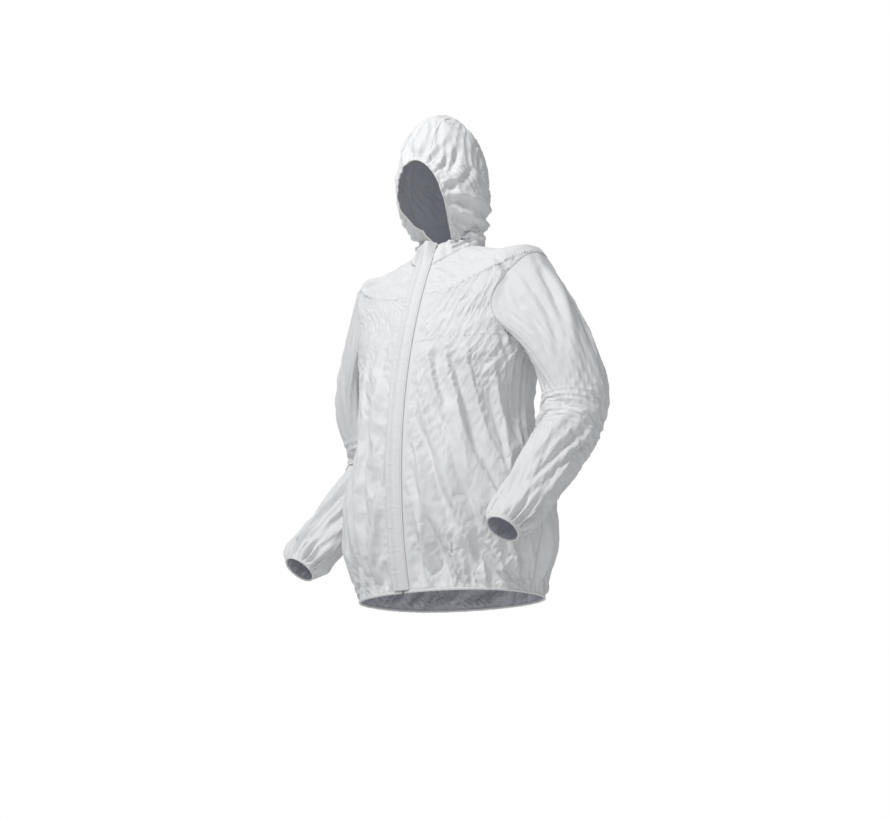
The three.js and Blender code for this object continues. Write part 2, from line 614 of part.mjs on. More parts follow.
// A tape lies inside its front's first column, from the slot between the coils to the tape's edge.
function tape() {
  const row = (surface, v) => {
    const [inner, outer] = [zipHalfOpening, tapeEdge].map((x) => surface(angleAtX(surface, x, v), v));
    const tip = inner.clone().lerp(outer, (coilSlot - zipHalfOpening) / (tapeEdge - zipHalfOpening));
    return [tip, outer];
  };
  const below = bodyRows.map((v) => row(bodyPoint, v));
  const above = standingRows.map((v) => row(hoodPoint, v));
  const grid = [...below, ...above.slice(1)];
  grid[0] = grid[0].map((point, j) => point.lerp(grid[1][j], (zipBottom + bodyLength) / grid[1][j].distanceTo(point)));
  const normals = gridNormals(grid, bodyInside, false);
  const face = grid.map((points, i) => points.map((point, j) => point.clone().addScaledVector(normals[i][j], tapeFace)));
  return sheet(face, bodyInside, { thickness: tapeThickness });
}
onBothSides("zip_tape", tape(), zipTape);
const coilProfile = rectangle(coilSlot, coilSlot + coilWidth, coilFace + coilLift, coilTop);
const coilEnd = zipTop - topStopLength - 0.6;
onBothSides("zip_coil", alongFront(coilProfile, coilEnd, zipBottom + endLength + 1), zipCoil);
// The separable end: a pin on the left half and a box on the right, below the coils.
place("zip_pin", alongFront(coilProfile, zipBottom + endLength, zipBottom), zipMetal);
place("zip_box", alongFront(coilProfile.map(([x, height]) => [-x, height]), zipBottom + endLength, zipBottom), zipMetal);
onBothSides("zip_top_stop", alongFront(coilProfile, zipTop, zipTop - topStopLength), zipMetal);

// The slider: a plate in front of the coils, a web in the slot, a plate behind the tapes, and a bail.
const sliderTop = zipTop - 3.5;
const sliderFront = coilTop + clearance;
const sliderRear = tapeFace - tapeThickness - clearance;
const webHalf = coilSlot - 0.35;
function joined(geometries) {
  const solids = geometries.map((geometry) => {
    const bare = geometry.index ? geometry.toNonIndexed() : geometry.clone();
    bare.deleteAttribute("normal");
    bare.deleteAttribute("uv");
    const merged = mergeVertices(bare, 1e-4);
    return new wasm.Manifold(new wasm.Mesh({ numProp: 3, vertProperties: merged.attributes.position.array, triVerts: new Uint32Array(merged.index.array) }));
  });
  const mesh = solids.reduce((sum, solid) => sum.add(solid)).getMesh();
  const geometry = new THREE.BufferGeometry();
  geometry.setAttribute("position", new THREE.BufferAttribute(mesh.vertProperties, 3));
  geometry.setIndex(new THREE.BufferAttribute(mesh.triVerts, 1));
  geometry.computeVertexNormals();
  return geometry;
}
const sliderFace = sliderFront + sliderPlate;
function slider() {
  const half = sliderWidth / 2;
  const body = alongFront([
    [-half, sliderFront], [-webHalf, sliderFront], [-webHalf, sliderRear], [-half, sliderRear],
    [-half, sliderRear - sliderPlate], [half, sliderRear - sliderPlate], [half, sliderRear], [webHalf, sliderRear],
    [webHalf, sliderFront], [half, sliderFront], [half, sliderFace], [-half, sliderFace],
  ], sliderTop, sliderTop - sliderLength);
  const sunk = 0.3; // the legs start inside the plate
  const bailTop = sliderTop - bailInset;
  const bailBottom = bailTop - bailLength;
  const archTop = sliderFace + bailHeight;
  const leg = (z) => alongFront(rectangle(-bailBar, bailBar, sliderFace - sunk, archTop), z, z - bailThickness);
  const bar = alongFront(rectangle(-bailBar, bailBar, archTop - barThickness, archTop), bailTop - sunk, bailBottom + sunk);
  return joined([body, leg(bailTop), leg(bailBottom + bailThickness), bar]);
}
place("zip_slider", slider(), zipMetal);

// The pull hangs from the bail: its eye goes round the bail's bar, and its pin lies under it.
function pull() {
  const low = sliderFace + pullClearance;
  const high = low + pullThickness;
  const half = pullWidth / 2;
  const eyeHalf = bailBar + pullClearance;
  const pinTop = sliderTop - bailInset - bailThickness - 1;
  const eyeTop = pinTop - pinThickness;
  const overlap = 0.2; // of the pull's parts on each other
  const pin = alongFront(rectangle(-half, half, low, high), pinTop, eyeTop);
  const cheek = (x0, x1) => alongFront(rectangle(x0, x1, low, high), eyeTop + overlap, eyeTop - eyeLength);
  const tab = alongFront(rectangle(-half, half, low, high), eyeTop - eyeLength + overlap, pinTop - pullLength);
  return joined([pin, cheek(-half, -eyeHalf), cheek(eyeHalf, half), tab]);
}
place("zip_pull", pull(), zipMetal);

// ---- Storm flap ----
const flapHeight = sliderFace + bailHeight + flapClearance;
const flapTop = faceBottom + 2;
const flapBottom = -bodyLength + 4;
const flare = (z) => flapFlare * ease((z + neckFrontDrop) / (flapTop + neckFrontDrop));
const flapProfile = rectangle(flapSewnEdge - flapWidth, flapSewnEdge - 2, flapHeight, flapHeight + flapThickness);
place("storm_flap", alongFront(flapProfile, flapTop, flapBottom, flare), fabric);
const flapSeamProfile = rectangle(flapSewnEdge - 1.5, flapSewnEdge + 0.5, clearance, flapHeight + flapThickness);
place("flap_seam", alongFront(flapSeamProfile, -neckFrontDrop - 3, flapBottom + 1), thread);

// ---- Size label inside the back of the neck ----
function label() {
  const v = neck - 0.62;
  const { point, out } = station(bodyPoint, 180, v);
  const up = vector(0, 0, 1).projectOnPlane(out).normalize();
  const inside = point.clone().addScaledVector(out, -wall - 3.5);
  const geometry = new THREE.BoxGeometry(labelWidth, 0.8, labelHeight);
  const turn = new THREE.Matrix4().makeBasis(vector(1, 0, 0), up.clone().cross(vector(1, 0, 0)), up);
  return geometry.applyMatrix4(turn.setPosition(inside));
}
place("size_label", label(), labelCloth);

export default jacket;
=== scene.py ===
import math
import bpy
import numpy as np
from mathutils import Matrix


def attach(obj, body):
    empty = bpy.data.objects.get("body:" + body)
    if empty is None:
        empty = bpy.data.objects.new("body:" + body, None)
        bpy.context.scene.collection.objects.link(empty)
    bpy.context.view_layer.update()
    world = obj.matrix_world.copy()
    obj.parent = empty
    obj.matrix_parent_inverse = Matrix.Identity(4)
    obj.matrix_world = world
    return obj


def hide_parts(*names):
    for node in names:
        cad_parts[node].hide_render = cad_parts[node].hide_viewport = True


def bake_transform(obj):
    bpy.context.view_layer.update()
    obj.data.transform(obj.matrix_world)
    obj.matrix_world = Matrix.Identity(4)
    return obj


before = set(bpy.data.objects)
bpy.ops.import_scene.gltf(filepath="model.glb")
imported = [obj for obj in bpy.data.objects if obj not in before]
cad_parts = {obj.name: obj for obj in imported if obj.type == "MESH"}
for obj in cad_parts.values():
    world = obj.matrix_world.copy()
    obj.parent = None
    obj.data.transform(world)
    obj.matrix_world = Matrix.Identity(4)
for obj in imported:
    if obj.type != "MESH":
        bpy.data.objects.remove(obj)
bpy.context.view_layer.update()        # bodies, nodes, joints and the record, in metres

degree = math.pi / 180

print("stage: camera")
cameraView = {"turn": 38, "away": 4.2, "height": -1.32, "tilt": 13.04, "lens": 80.66, "shift": -0.0051}


def placed(name, data):
    thing = bpy.data.objects.new(name, data)
    bpy.context.scene.collection.objects.link(thing)
    return thing


def makeCamera():
    data = bpy.data.cameras.new("camera")
    data.lens = cameraView["lens"]
    data.shift_x = cameraView["shift"]
    data.clip_end = 60
    camera = placed("camera", data)
    turn = cameraView["turn"] * degree
    camera.location = (
        cameraView["away"] * math.sin(turn),
        -cameraView["away"] * math.cos(turn),
        cameraView["height"],
    )
    camera.rotation_euler = (math.pi / 2 + cameraView["tilt"] * degree, 0, turn)
    bpy.context.scene.camera = camera


makeCamera()


def lengthOf(vectors):
    return np.linalg.norm(vectors, axis=-1)


def runOf(path, power=1.0):
    # How far each point is along its path
    return np.concatenate([[0], np.cumsum(lengthOf(np.diff(path, axis=0)) ** power)])


def closedRound(rows):
    return np.concatenate([rows, rows[:, :1]], 1)


def quadsOf(index):
    return np.stack([index[:-1, :-1], index[:-1, 1:], index[1:, 1:], index[1:, :-1]], -1).reshape(-1, 4)

# The jacket as it is worn, in metres: the same measures as the frame's
body = {
    "hemHalfWidth": 0.205, "hipHalfWidth": 0.232, "waistHalfWidth": 0.202, "chestHalfWidth": 0.218,
    "shoulderHalfWidth": 0.236, "neckHalfWidth": 0.078, "length": 0.76, "armpit": 0.225, "shoulder": 0.036,
    "neckFront": 0.045, "hemBack": 0.165, "hipBack": 0.176, "chestBack": 0.132, "neckBack": 0.082,
    "arcRadius": 1.15, "arcY": 0.967, "arcZ": -0.505, "squareness": 2.25, "armhole": 41,
}
hood = {
    "halfWidth": 0.103, "height": 0.315, "widest": 0.148, "front": 0.134, "back": 0.079, "strip": 0.04,
    "faceTop": 0.186, "faceBottom": 0.008, "faceHalfWidth": 0.062, "faceNarrow": 0.38,
    "faceMiddle": 0.095, "faceRadius": 0.085,
}
sleeve = {
    "upper": 0.066, "elbow": 0.065, "forearm": 0.055, "cuff": 0.035, "gather": 0.045, "blend": 0.4,
    "mean": 0.06,
    "left": {"top": (0.080, 0, 0), "upper": (0.098, 0.008, -0.115), "elbow": (0.106, 0.024, -0.250),
             "wrist": (0.067, -0.178, -0.525)},
    "right": {"top": (0.122, -0.012, -0.010), "upper": (0.098, 0.036, -0.130),
              "elbow": (0.066, 0.084, -0.292), "wrist": (0.126, -0.110, -0.543)},
}
# How finely each surface is laid out before it is subdivided
mesh = {"columns": 54, "rowsBelow": 92, "rowsArmhole": 36, "rowsYoke": 20, "hoodRows": 22, "faceRows": 36,
        "crownRows": 18, "sleeveRows": 104}


def frontLine(z):
    # The centre front is an arc about a far line across the body
    return body["arcY"] - np.sqrt(body["arcRadius"] ** 2 - (z - body["arcZ"]) ** 2)


def level(halfWidth, side, back, z):
    return [halfWidth, side, float(frontLine(z)), back, z, z, z]


armpitZ = -body["armpit"]
bodyRings = np.array([
    level(body["hemHalfWidth"], 0.010, body["hemBack"], -body["length"]),
    level(body["hipHalfWidth"] - 0.008, 0.006, body["hipBack"] - 0.001, -body["length"] + 0.06),
    level(body["hipHalfWidth"], 0.002, body["hipBack"], -body["length"] + 0.17),
    level(body["waistHalfWidth"], 0, (body["hipBack"] + body["chestBack"]) / 2, armpitZ - 0.15),
    [body["chestHalfWidth"], 0, 0, body["chestBack"], armpitZ - 0.005, armpitZ, armpitZ],
    [body["shoulderHalfWidth"], 0.014, 0, body["chestBack"] - 0.018, -0.12, -body["shoulder"],
     -body["shoulder"] - 0.025],
    [(body["shoulderHalfWidth"] + body["neckHalfWidth"]) / 2, 0.003, 0, body["neckBack"] + 0.018, -0.078,
     -body["shoulder"] / 2, -0.018],
    [body["neckHalfWidth"], 0.002, 0, body["neckBack"], -body["neckFront"], 0.005, 0.025],
])
hoodRings = np.array([
    bodyRings[-1],
    [body["neckHalfWidth"] + 0.004, 0.002, 0, body["neckBack"] - 0.006, hood["faceBottom"], 0.040, 0.055],
    [hood["halfWidth"] - 0.004, -0.012, -hood["front"] + 0.018, body["neckBack"] - 0.002,
     0.088, 0.095, 0.105],
    [hood["halfWidth"], -0.025, -hood["front"], hood["back"], hood["widest"], hood["widest"], hood["widest"]],
])
armpitV, shoulderV, neckV, widestV = 4, 5, 7, 3


def through(rings, v):
    # A smooth cubic through the rings, by ring number, straight at its ends
    ends = np.vstack([2 * rings[0] - rings[1], rings, 2 * rings[-1] - rings[-2]])
    v = np.clip(np.asarray(v, float), 0, len(rings) - 1)
    i = np.minimum(v.astype(int), len(rings) - 2)
    t = (v - i)[..., None]
    a, b, c, d = (ends[i + k] for k in range(4))
    value = b + t * ((c - a) / 2 + t * (a - 2.5 * b + 2 * c - d / 2 + t * (1.5 * (b - c) + (d - a) / 2)))
    low = value[..., 4] <= hood["faceBottom"]
    value[..., 2] = np.where(low, frontLine(np.minimum(value[..., 4], hood["faceBottom"])), value[..., 2])
    return value


def ringPoint(ring, angle, squareness):
    # A superellipse with its own front and back reach; the height runs from front to side to back
    sin, cos = np.sin(angle * degree), np.cos(angle * degree)
    across = np.sign(sin) * np.abs(sin) ** (2 / squareness)
    along = np.abs(cos) ** (2 / squareness)
    halfWidth, side, front, back, zFront, zSide, zBack = np.moveaxis(ring, -1, 0)
    end = np.where(cos > 0, front, back)
    zEnd = np.where(cos > 0, zFront, zBack)
    return np.stack([halfWidth * across, side + (end - side) * along, zSide + (zEnd - zSide) * cos * cos], -1)


def bodyPoint(angle, v):
    return ringPoint(through(bodyRings, v), angle, body["squareness"])


def hoodPoint(angle, v):
    # A tube up to the widest ring, and half an ellipsoid above it
    angle, v = np.broadcast_arrays(np.asarray(angle, float), np.asarray(v, float))
    tube = ringPoint(through(hoodRings, v), angle, 2)
    rise = np.clip(v - widestV, 0, 1) * 90 * degree
    halfWidth, side, front, back = hoodRings[-1][:4]
    end = np.where(np.cos(angle * degree) > 0, front, back)
    cap = np.stack([
        halfWidth * np.cos(rise) * np.sin(angle * degree),
        side + (end - side) * np.cos(rise) * np.abs(np.cos(angle * degree)),
        hood["widest"] + (hood["height"] - hood["widest"]) * np.sin(rise),
    ], -1)
    return np.where((v > widestV)[..., None], cap, tube)


def armholeAt(turn):
    # The armhole's edge, from the shoulder tip at 0 over the front at 90 to the armpit at 180
    return 90 - body["armhole"] * np.sin(turn * degree), (armpitV + shoulderV) / 2 + np.cos(turn * degree) / 2


def armholePoint(turn):
    return bodyPoint(*armholeAt(turn))


def smooth(t):
    t = np.clip(t, 0, 1)
    return t * t * (3 - 2 * t)


def splinePath(points, count):
    # A centripetal curve through the points, resampled to even steps
    points = np.array(points, float)
    full = np.vstack([2 * points[0] - points[1], points, 2 * points[-1] - points[-2]])
    knots = runOf(full, 0.5)
    curve = []
    for i in range(1, len(full) - 2):
        t = np.linspace(knots[i], knots[i + 1], 40, endpoint=i == len(full) - 3)[:, None]
        pair = [((knots[i + k] - t) * full[i + k - 1] + (t - knots[i + k - 1]) * full[i + k])
                / (knots[i + k] - knots[i + k - 1]) for k in range(3)]
        two = [((knots[i + k + 1] - t) * pair[k] + (t - knots[i + k - 1]) * pair[k + 1])
               / (knots[i + k + 1] - knots[i + k - 1]) for k in range(2)]
        curve.append(((knots[i + 1] - t) * two[0] + (t - knots[i]) * two[1]) / (knots[i + 1] - knots[i]))
    curve = np.vstack(curve)
    run = runOf(curve)
    even = np.linspace(0, run[-1], count)
    return np.stack([np.interp(even, run, curve[:, k]) for k in range(3)], -1), run[-1]


def makeSleeve(side):
    arm = sleeve[side]
    turns = np.arange(0, 360, 10)
    middle = armholePoint(turns).mean(axis=0)
    top, upper, elbow, wrist = (middle + np.array(arm[k]) for k in ("top", "upper", "elbow", "wrist"))
    corners = [top, upper, upper + (elbow - upper) * 0.75, elbow + (wrist - elbow) * 0.15,
               elbow + (wrist - elbow) * 0.6, wrist]
    path, length = splinePath(corners, 400)
    tangents = np.gradient(path, axis=0)
    tangents /= np.linalg.norm(tangents, axis=1)[:, None]
    elbowAlong = (np.linalg.norm(upper - top) + np.linalg.norm(elbow - upper)) / length

    def point(turn, along):
        # A tube round the arm's line, drawn onto the armhole at its top and into the cuff at its end
        turn, along = np.broadcast_arrays(np.asarray(turn, float), np.asarray(along, float))
        step = along * (len(path) - 1)
        i = np.minimum(step.astype(int), len(path) - 2)
        t = (step - i)[..., None]
        axis = path[i] * (1 - t) + path[i + 1] * t
        down = tangents[i] * (1 - t) + tangents[i + 1] * t
        out = np.array([1.0, 0, 0]) - down * down[..., :1]
        out /= lengthOf(out)[..., None]
        front = np.cross(out, down)
        front *= np.where(front[..., 1:2] > 0, -1, 1)
        toElbow = sleeve["upper"] + (sleeve["elbow"] - sleeve["upper"]) * smooth(along / elbowAlong)
        full = toElbow + (sleeve["forearm"] - toElbow) * smooth((along - elbowAlong) / (1 - elbowAlong))
        gathered = smooth((1 - along) * length / sleeve["gather"])
        radius = sleeve["cuff"] + (full - sleeve["cuff"]) * np.sqrt(gathered)
        cos, sin = np.cos(turn * degree)[..., None], np.sin(turn * degree)[..., None]
        return axis + radius[..., None] * (out * cos + front * sin)

    def worn(turn, along):
        pull = np.clip(1 - along / sleeve["blend"], 0, 1)[..., None] ** 2.2
        return point(turn, along) + pull * (armholePoint(turn) - point(turn, np.zeros_like(along)))

    return worn, path, length


# Grids: rows run up or along, columns run round
print("stage: surfaces")
zipHalf = 0.0039        # where the fronts stop, each side of the zip


def angleAtX(x, halfWidth, squareness):
    # From x = halfWidth * sin^(2/n)
    return np.arcsin((x / halfWidth) ** (squareness / 2)) / degree


def rowsOf(ringHeights, low, high, count):
    return np.interp(np.linspace(low, high, count), ringHeights, np.arange(len(ringHeights)))


def torsoRows(below, beside, above):
    # Each row's ring number and how far round the armhole cuts into it
    turns = np.linspace(180, 0, beside + 1)
    v = np.concatenate([
        rowsOf(bodyRings[:armpitV + 1, 5], -body["length"], armpitZ, below + 1)[:-1],
        armholeAt(turns)[1],
        np.linspace(shoulderV, neckV, above + 1)[1:],
    ])
    return v, np.concatenate([np.zeros(below), body["armhole"] * np.sin(turns * degree), np.zeros(above)])


torsoSteps = (mesh["rowsBelow"], mesh["rowsArmhole"], mesh["rowsYoke"])
torsoV, torsoReach = torsoRows(*torsoSteps)


def spread(start, end, columns):
    # Angles from start to end, one row for each pair of them
    share = np.linspace(0, 1, columns + 1)[None, :]
    return start[:, None] * (1 - share) + end[:, None] * share


def frontEnds(v, reach):
    return angleAtX(zipHalf, through(bodyRings, v)[:, 0], body["squareness"]), 90 - reach


def backEnds(v, reach):
    return 90 + reach, 270 - reach


def surfaceGrid(surface, v, ends, columns):
    angles = spread(*ends, columns)
    return surface(angles, v[:, None] + 0 * angles), angles


def hoodRowsAt(below, beside, above):
    # The face opening is an egg in real height: each row's half width is
    # halfWidth sqrt(1 - q^2) (1 - narrow s(-q)), with q from -1 at the chin to 1 at the forehead
    steps = np.linspace(0, widestV + 1, 4001)
    heights = hoodPoint(0.0, steps)[:, 2]
    q = -np.cos(np.linspace(0, 180, beside + 1) * degree)
    middle, half = (hood["faceTop"] + hood["faceBottom"]) / 2, (hood["faceTop"] - hood["faceBottom"]) / 2
    faceV = np.interp(middle + half * q, heights, steps)
    v = np.concatenate([
        np.linspace(0, faceV[0], below + 1)[:-1], faceV, np.linspace(faceV[-1], widestV + 1, above + 1)[1:],
    ])
    q = np.concatenate([-np.ones(below), q, np.ones(above)])
    halfWidth = hood["faceHalfWidth"] * np.sqrt(1 - q * q) * (1 - hood["faceNarrow"] * smooth(-q))
    width = through(hoodRings, v)[:, 0]
    reach = np.arcsin(np.clip(halfWidth / width, 0, 1)) / degree
    return v, np.where(v <= faceV[0] + 1e-6, angleAtX(zipHalf, width, 2), reach)


hoodSteps = (mesh["hoodRows"] // 2 - 1, mesh["faceRows"], mesh["crownRows"] - 1)
hoodV, hoodReach = hoodRowsAt(*hoodSteps)
faceRowFirst = hoodSteps[0]
faceRowLast = faceRowFirst + hoodSteps[1]


def hoodEnds(v, reach):
    return reach, np.full(len(v), 180.0)


def normalsOf(grid, closed, inside):
    # The cross product of the two directions of the grid, turned away from a point or line inside
    if closed:
        across = np.roll(grid, -1, 1) - np.roll(grid, 1, 1)
    else:
        across = np.gradient(grid, axis=1)
    normal = np.cross(across, np.gradient(grid, axis=0))
    size = np.linalg.norm(normal, axis=-1, keepdims=True)
    normal = normal / np.maximum(size, 1e-12)
    return normal * (1 if (normal * (grid - inside)).sum() > 0 else -1)


def runAcross(grid):
    # How far each point is along its row, in metres
    step = lengthOf(np.diff(grid, axis=1))
    return np.concatenate([np.zeros((len(grid), 1)), np.cumsum(step, axis=1)], 1)


def pleat(points, path, width, depth, fade=0.3):
    # depth * (1 - q^2) * e^(-q^2), with q the distance from the line over its width, fading out at its ends
    path = np.asarray(path, float)
    run = runOf(path)
    run /= run[-1]
    nearest = np.full(points.shape[:-1], 9.0)
    place = np.zeros(points.shape[:-1])
    for a, b, first, last in zip(path, path[1:], run, run[1:]):
        t = np.clip(((points - a) @ (b - a)) / ((b - a) @ (b - a)), 0, 1)
        distance = lengthOf(points - a - t[..., None] * (b - a))
        closer = distance < nearest
        nearest = np.where(closer, distance, nearest)
        place = np.where(closer, first + (last - first) * t, place)
    q = nearest / width
    return depth * smooth(place / fade) * smooth((1 - place) / fade) * (1 - q * q) * np.exp(-q * q)


def pleats(points, surface, lines):
    return sum(pleat(points, surface(*np.array(line, float).T), width, depth) for line, width, depth in lines)


def creases(across, along, seed, wave, lean=0.0, scatter=0.12, count=14):
    # The mean of plane waves near one length and one direction, folded by the absolute value into ridges:
    # 1 - 2 |w|^0.8, where w = sum of cos(2 pi (across cos a + along sin a) / length + phase) / sqrt(count)
    random = np.random.default_rng(seed)
    total = 0
    for _ in range(count):
        angle = lean + random.normal(0, scatter)
        length = wave * random.uniform(0.7, 1.4)
        phase = random.uniform(0, 2 * math.pi)
        place = across * math.cos(angle) + along * math.sin(angle)
        total = total + np.cos(2 * math.pi * place / length + phase)
    return 1 - 2 * np.minimum(np.abs(total) * (1.1 / math.sqrt(count)), 1) ** 0.8


def gathers(across, away, seed, finest=0.011, octaves=4, strength=0.11):
    # Puckers beside an elastic: each length fades over its own length, so they merge into fewer folds
    random = np.random.default_rng(seed)
    total = 0
    for k in range(octaves):
        wave = finest * 1.75 ** k
        near = 1.5 * smooth(away / (0.7 * wave)) * np.exp(-away / (1.5 * wave))
        drift = 0.6 * wave * np.sin(2 * math.pi * across / (wave * 5.3) + random.uniform(0, 6))
        ridge = 1 - 2 * np.abs(np.sin(math.pi * (across + drift) / wave + random.uniform(0, 6))) ** 0.9
        uneven = 0.75 + 0.35 * np.sin(across * 41 + random.uniform(0, 6))
        total = total + strength * wave * near * ridge * uneven
    return total


def between(value, low, high, soft):
    return smooth((value - low) / soft + 0.5) * smooth((high - value) / soft + 0.5)


# Long folds of the fronts, as the angle and ring number of each corner, then width and depth
frontFolds = [
    ([(17, 4.1), (23, 3.5), (30, 3.1), (33, 2.8)], 0.017, -0.010),
    ([(26, 4.1), (33, 3.6), (42, 3.2), (48, 2.8), (50, 2.4)], 0.019, -0.012),
    ([(9, 3.1), (16, 2.7), (23, 2.3), (29, 1.9), (32, 1.3), (35, 0.4)], 0.017, -0.012),
    ([(19, 3.1), (30, 2.8), (36, 2.4), (42, 2.1), (47, 1.8)], 0.018, -0.010),
    ([(8, 2.5), (14, 1.9), (19, 1.4), (22, 0.9), (26, 0.3)], 0.014, -0.009),
    ([(44, 3.1), (52, 2.6), (58, 2.3), (60, 1.9)], 0.018, -0.009),
    ([(38, 2.3), (45, 1.7), (48, 1.1), (50, 0.4)], 0.018, -0.009),
    ([(56, 2.0), (62, 1.4), (64, 0.6)], 0.016, -0.008),
    ([(72, 2.4), (76, 1.7), (75, 0.8)], 0.018, -0.009),
    ([(60, 3.3), (68, 2.8), (72, 2.3)], 0.014, -0.006),
    ([(50, 6.2), (55, 5.5), (57, 4.8), (61, 4.3), (62, 4.1)], 0.012, -0.008),
    ([(79, 4.8), (74, 4.4), (70, 4.2), (63, 4.0)], 0.010, -0.007),
    ([(72, 5.0), (68, 4.6), (64, 4.4), (60, 4.0)], 0.011, -0.005),
    ([(68, 4.15), (72, 3.95), (80, 3.8)], 0.008, -0.005),
    ([(60, 4.1), (66, 3.85), (76, 3.65)], 0.009, -0.005),
    ([(84, 4.0), (86, 3.5), (84, 3.0), (80, 2.6)], 0.016, -0.010),
]
farFolds = [
    ([(8, 4.6), (14, 4.0), (16, 3.4)], 0.010, -0.005),
    ([(14, 3.6), (14, 2.8), (10, 2.2)], 0.016, 0.009),
    ([(24, 3.5), (24, 2.7), (20, 2.0), (22, 1.2)], 0.017, -0.010),
    ([(8, 2.3), (13, 1.6), (17, 1.0), (14, 0.3)], 0.014, 0.009),
    ([(34, 3.2), (36, 2.4), (30, 1.6), (34, 0.5)], 0.018, -0.011),
    ([(46, 3.4), (48, 2.6), (46, 1.8), (42, 0.9)], 0.018, -0.010),
    ([(58, 3.2), (60, 2.2), (57, 1.2)], 0.018, -0.009),
    ([(70, 2.8), (72, 1.8), (70, 0.8)], 0.018, -0.009),
    ([(50, 6.0), (54, 5.2), (58, 4.4)], 0.012, -0.007),
    ([(78, 4.7), (72, 4.3), (64, 4.0)], 0.010, -0.006),
    ([(84, 4.0), (86, 3.4), (82, 2.7)], 0.016, -0.010),
]
backFolds = [
    ([(110, 4.2), (128, 3.7), (150, 3.3), (172, 3.1)], 0.018, -0.009),
    ([(250, 4.2), (232, 3.6), (210, 3.2), (186, 3.0)], 0.018, -0.009),
    ([(104, 3.8), (118, 3.1), (130, 2.4)], 0.018, -0.009),
    ([(258, 3.8), (244, 3.0), (232, 2.2)], 0.018, -0.009),
    ([(150, 2.9), (146, 2.0), (150, 1.1), (146, 0.4)], 0.018, -0.010),
    ([(176, 2.8), (180, 1.9), (176, 0.6)], 0.018, -0.010),
    ([(205, 2.6), (212, 1.7), (208, 0.5)], 0.018, -0.010),
    ([(122, 2.2), (126, 1.3), (124, 0.4)], 0.016, -0.009),
    ([(236, 2.1), (232, 1.2), (236, 0.3)], 0.016, -0.009),
    ([(98, 2.4), (102, 1.4), (98, 0.6)], 0.016, -0.008),
    ([(262, 2.4), (258, 1.4), (262, 0.6)], 0.016, -0.008),
    ([(165, 6.5), (150, 5.8), (132, 5.2)], 0.012, -0.005),
    ([(195, 6.5), (210, 5.8), (228, 5.2)], 0.012, -0.005),
]


def torsoDepth(grid, side):
    # side is 1 for the wearer's left front, -1 for the right, 0 for the back
    across, z = runAcross(grid), grid[..., 2]
    up = grid[..., 2] + body["length"]
    quiet = smooth((np.abs(grid[..., 0]) - 0.016) / 0.03) if side else 1
    seed = 11 + side
    chest = between(z, -0.30, -0.06, 0.10)
    lower = between(z, -0.74, -0.27, 0.12)
    lean = {1: -0.42, -1: 0.30, 0: 0.25}[side]
    fine = 0.0011 * creases(across, z, seed, 0.030, lean, 0.18)
    tiny = 0.0007 * creases(across, z, seed + 5, 0.014, lean * 1.1, 0.22)
    long = 0.0030 * creases(across, z, seed + 10, 0.085, {1: 0.26, -1: 0.02, 0: 0.0}[side], 0.10)
    small = 0.0010 * creases(across, z, seed + 15, 0.032, {1: 0.28, -1: 0.04, 0: 0.05}[side], 0.14)
    hem = gathers(across, up, seed + 20, finest=0.034, octaves=3, strength=0.13)
    return quiet * (chest * (fine + tiny) + lower * (long + small) + hem)


sleeveFolds = [
    ([(4, 0.01), (14, 0.11), (32, 0.20), (48, 0.32), (58, 0.44)], 0.020, 0.008),
    ([(20, 0.01), (26, 0.10), (36, 0.22)], 0.009, -0.007),
    ([(44, 0.01), (46, 0.12), (58, 0.24)], 0.009, -0.006),
    ([(66, 0.02), (70, 0.14), (82, 0.28)], 0.010, -0.006),
    ([(-14, 0.02), (-8, 0.14), (4, 0.26)], 0.010, -0.006),
    ([(-36, 0.02), (-34, 0.16), (-20, 0.30)], 0.011, -0.007),
    ([(-62, 0.03), (-60, 0.20), (-46, 0.34)], 0.011, -0.007),
    ([(-90, 0.05), (-96, 0.20), (-110, 0.34)], 0.013, -0.008),
    ([(0, 0.45), (16, 0.55), (30, 0.66), (42, 0.80), (46, 0.92)], 0.014, -0.010),
    ([(52, 0.47), (64, 0.56), (70, 0.66), (72, 0.80)], 0.014, 0.008),
    ([(90, 0.42), (74, 0.46), (40, 0.47)], 0.012, -0.008),
    ([(120, 0.40), (140, 0.46), (170, 0.50), (200, 0.49)], 0.014, -0.011),
    ([(112, 0.47), (134, 0.54), (170, 0.57)], 0.013, -0.010),
    ([(-20, 0.50), (0, 0.60), (14, 0.74), (20, 0.88)], 0.013, -0.008),
    ([(-60, 0.52), (-44, 0.64), (-34, 0.80)], 0.014, -0.008),
    ([(-100, 0.50), (-92, 0.66), (-88, 0.84)], 0.014, -0.008),
    ([(104, 0.62), (100, 0.74), (96, 0.90)], 0.013, -0.008),
    ([(140, 0.62), (142, 0.76), (138, 0.90)], 0.013, -0.008),
    ([(180, 0.60), (184, 0.74), (180, 0.88)], 0.013, -0.008),
    ([(150, 0.08), (146, 0.20), (132, 0.34)], 0.013, -0.008),
    ([(195, 0.06), (206, 0.20), (214, 0.34)], 0.013, -0.008),
]


seamEase = 0.02        # the share of a sleeve over which its folds grow from the armhole


def turnsOf(grid, along):
    return np.linspace(0, 2 * math.pi, grid.shape[1], endpoint=False)[None, :] + 0 * along


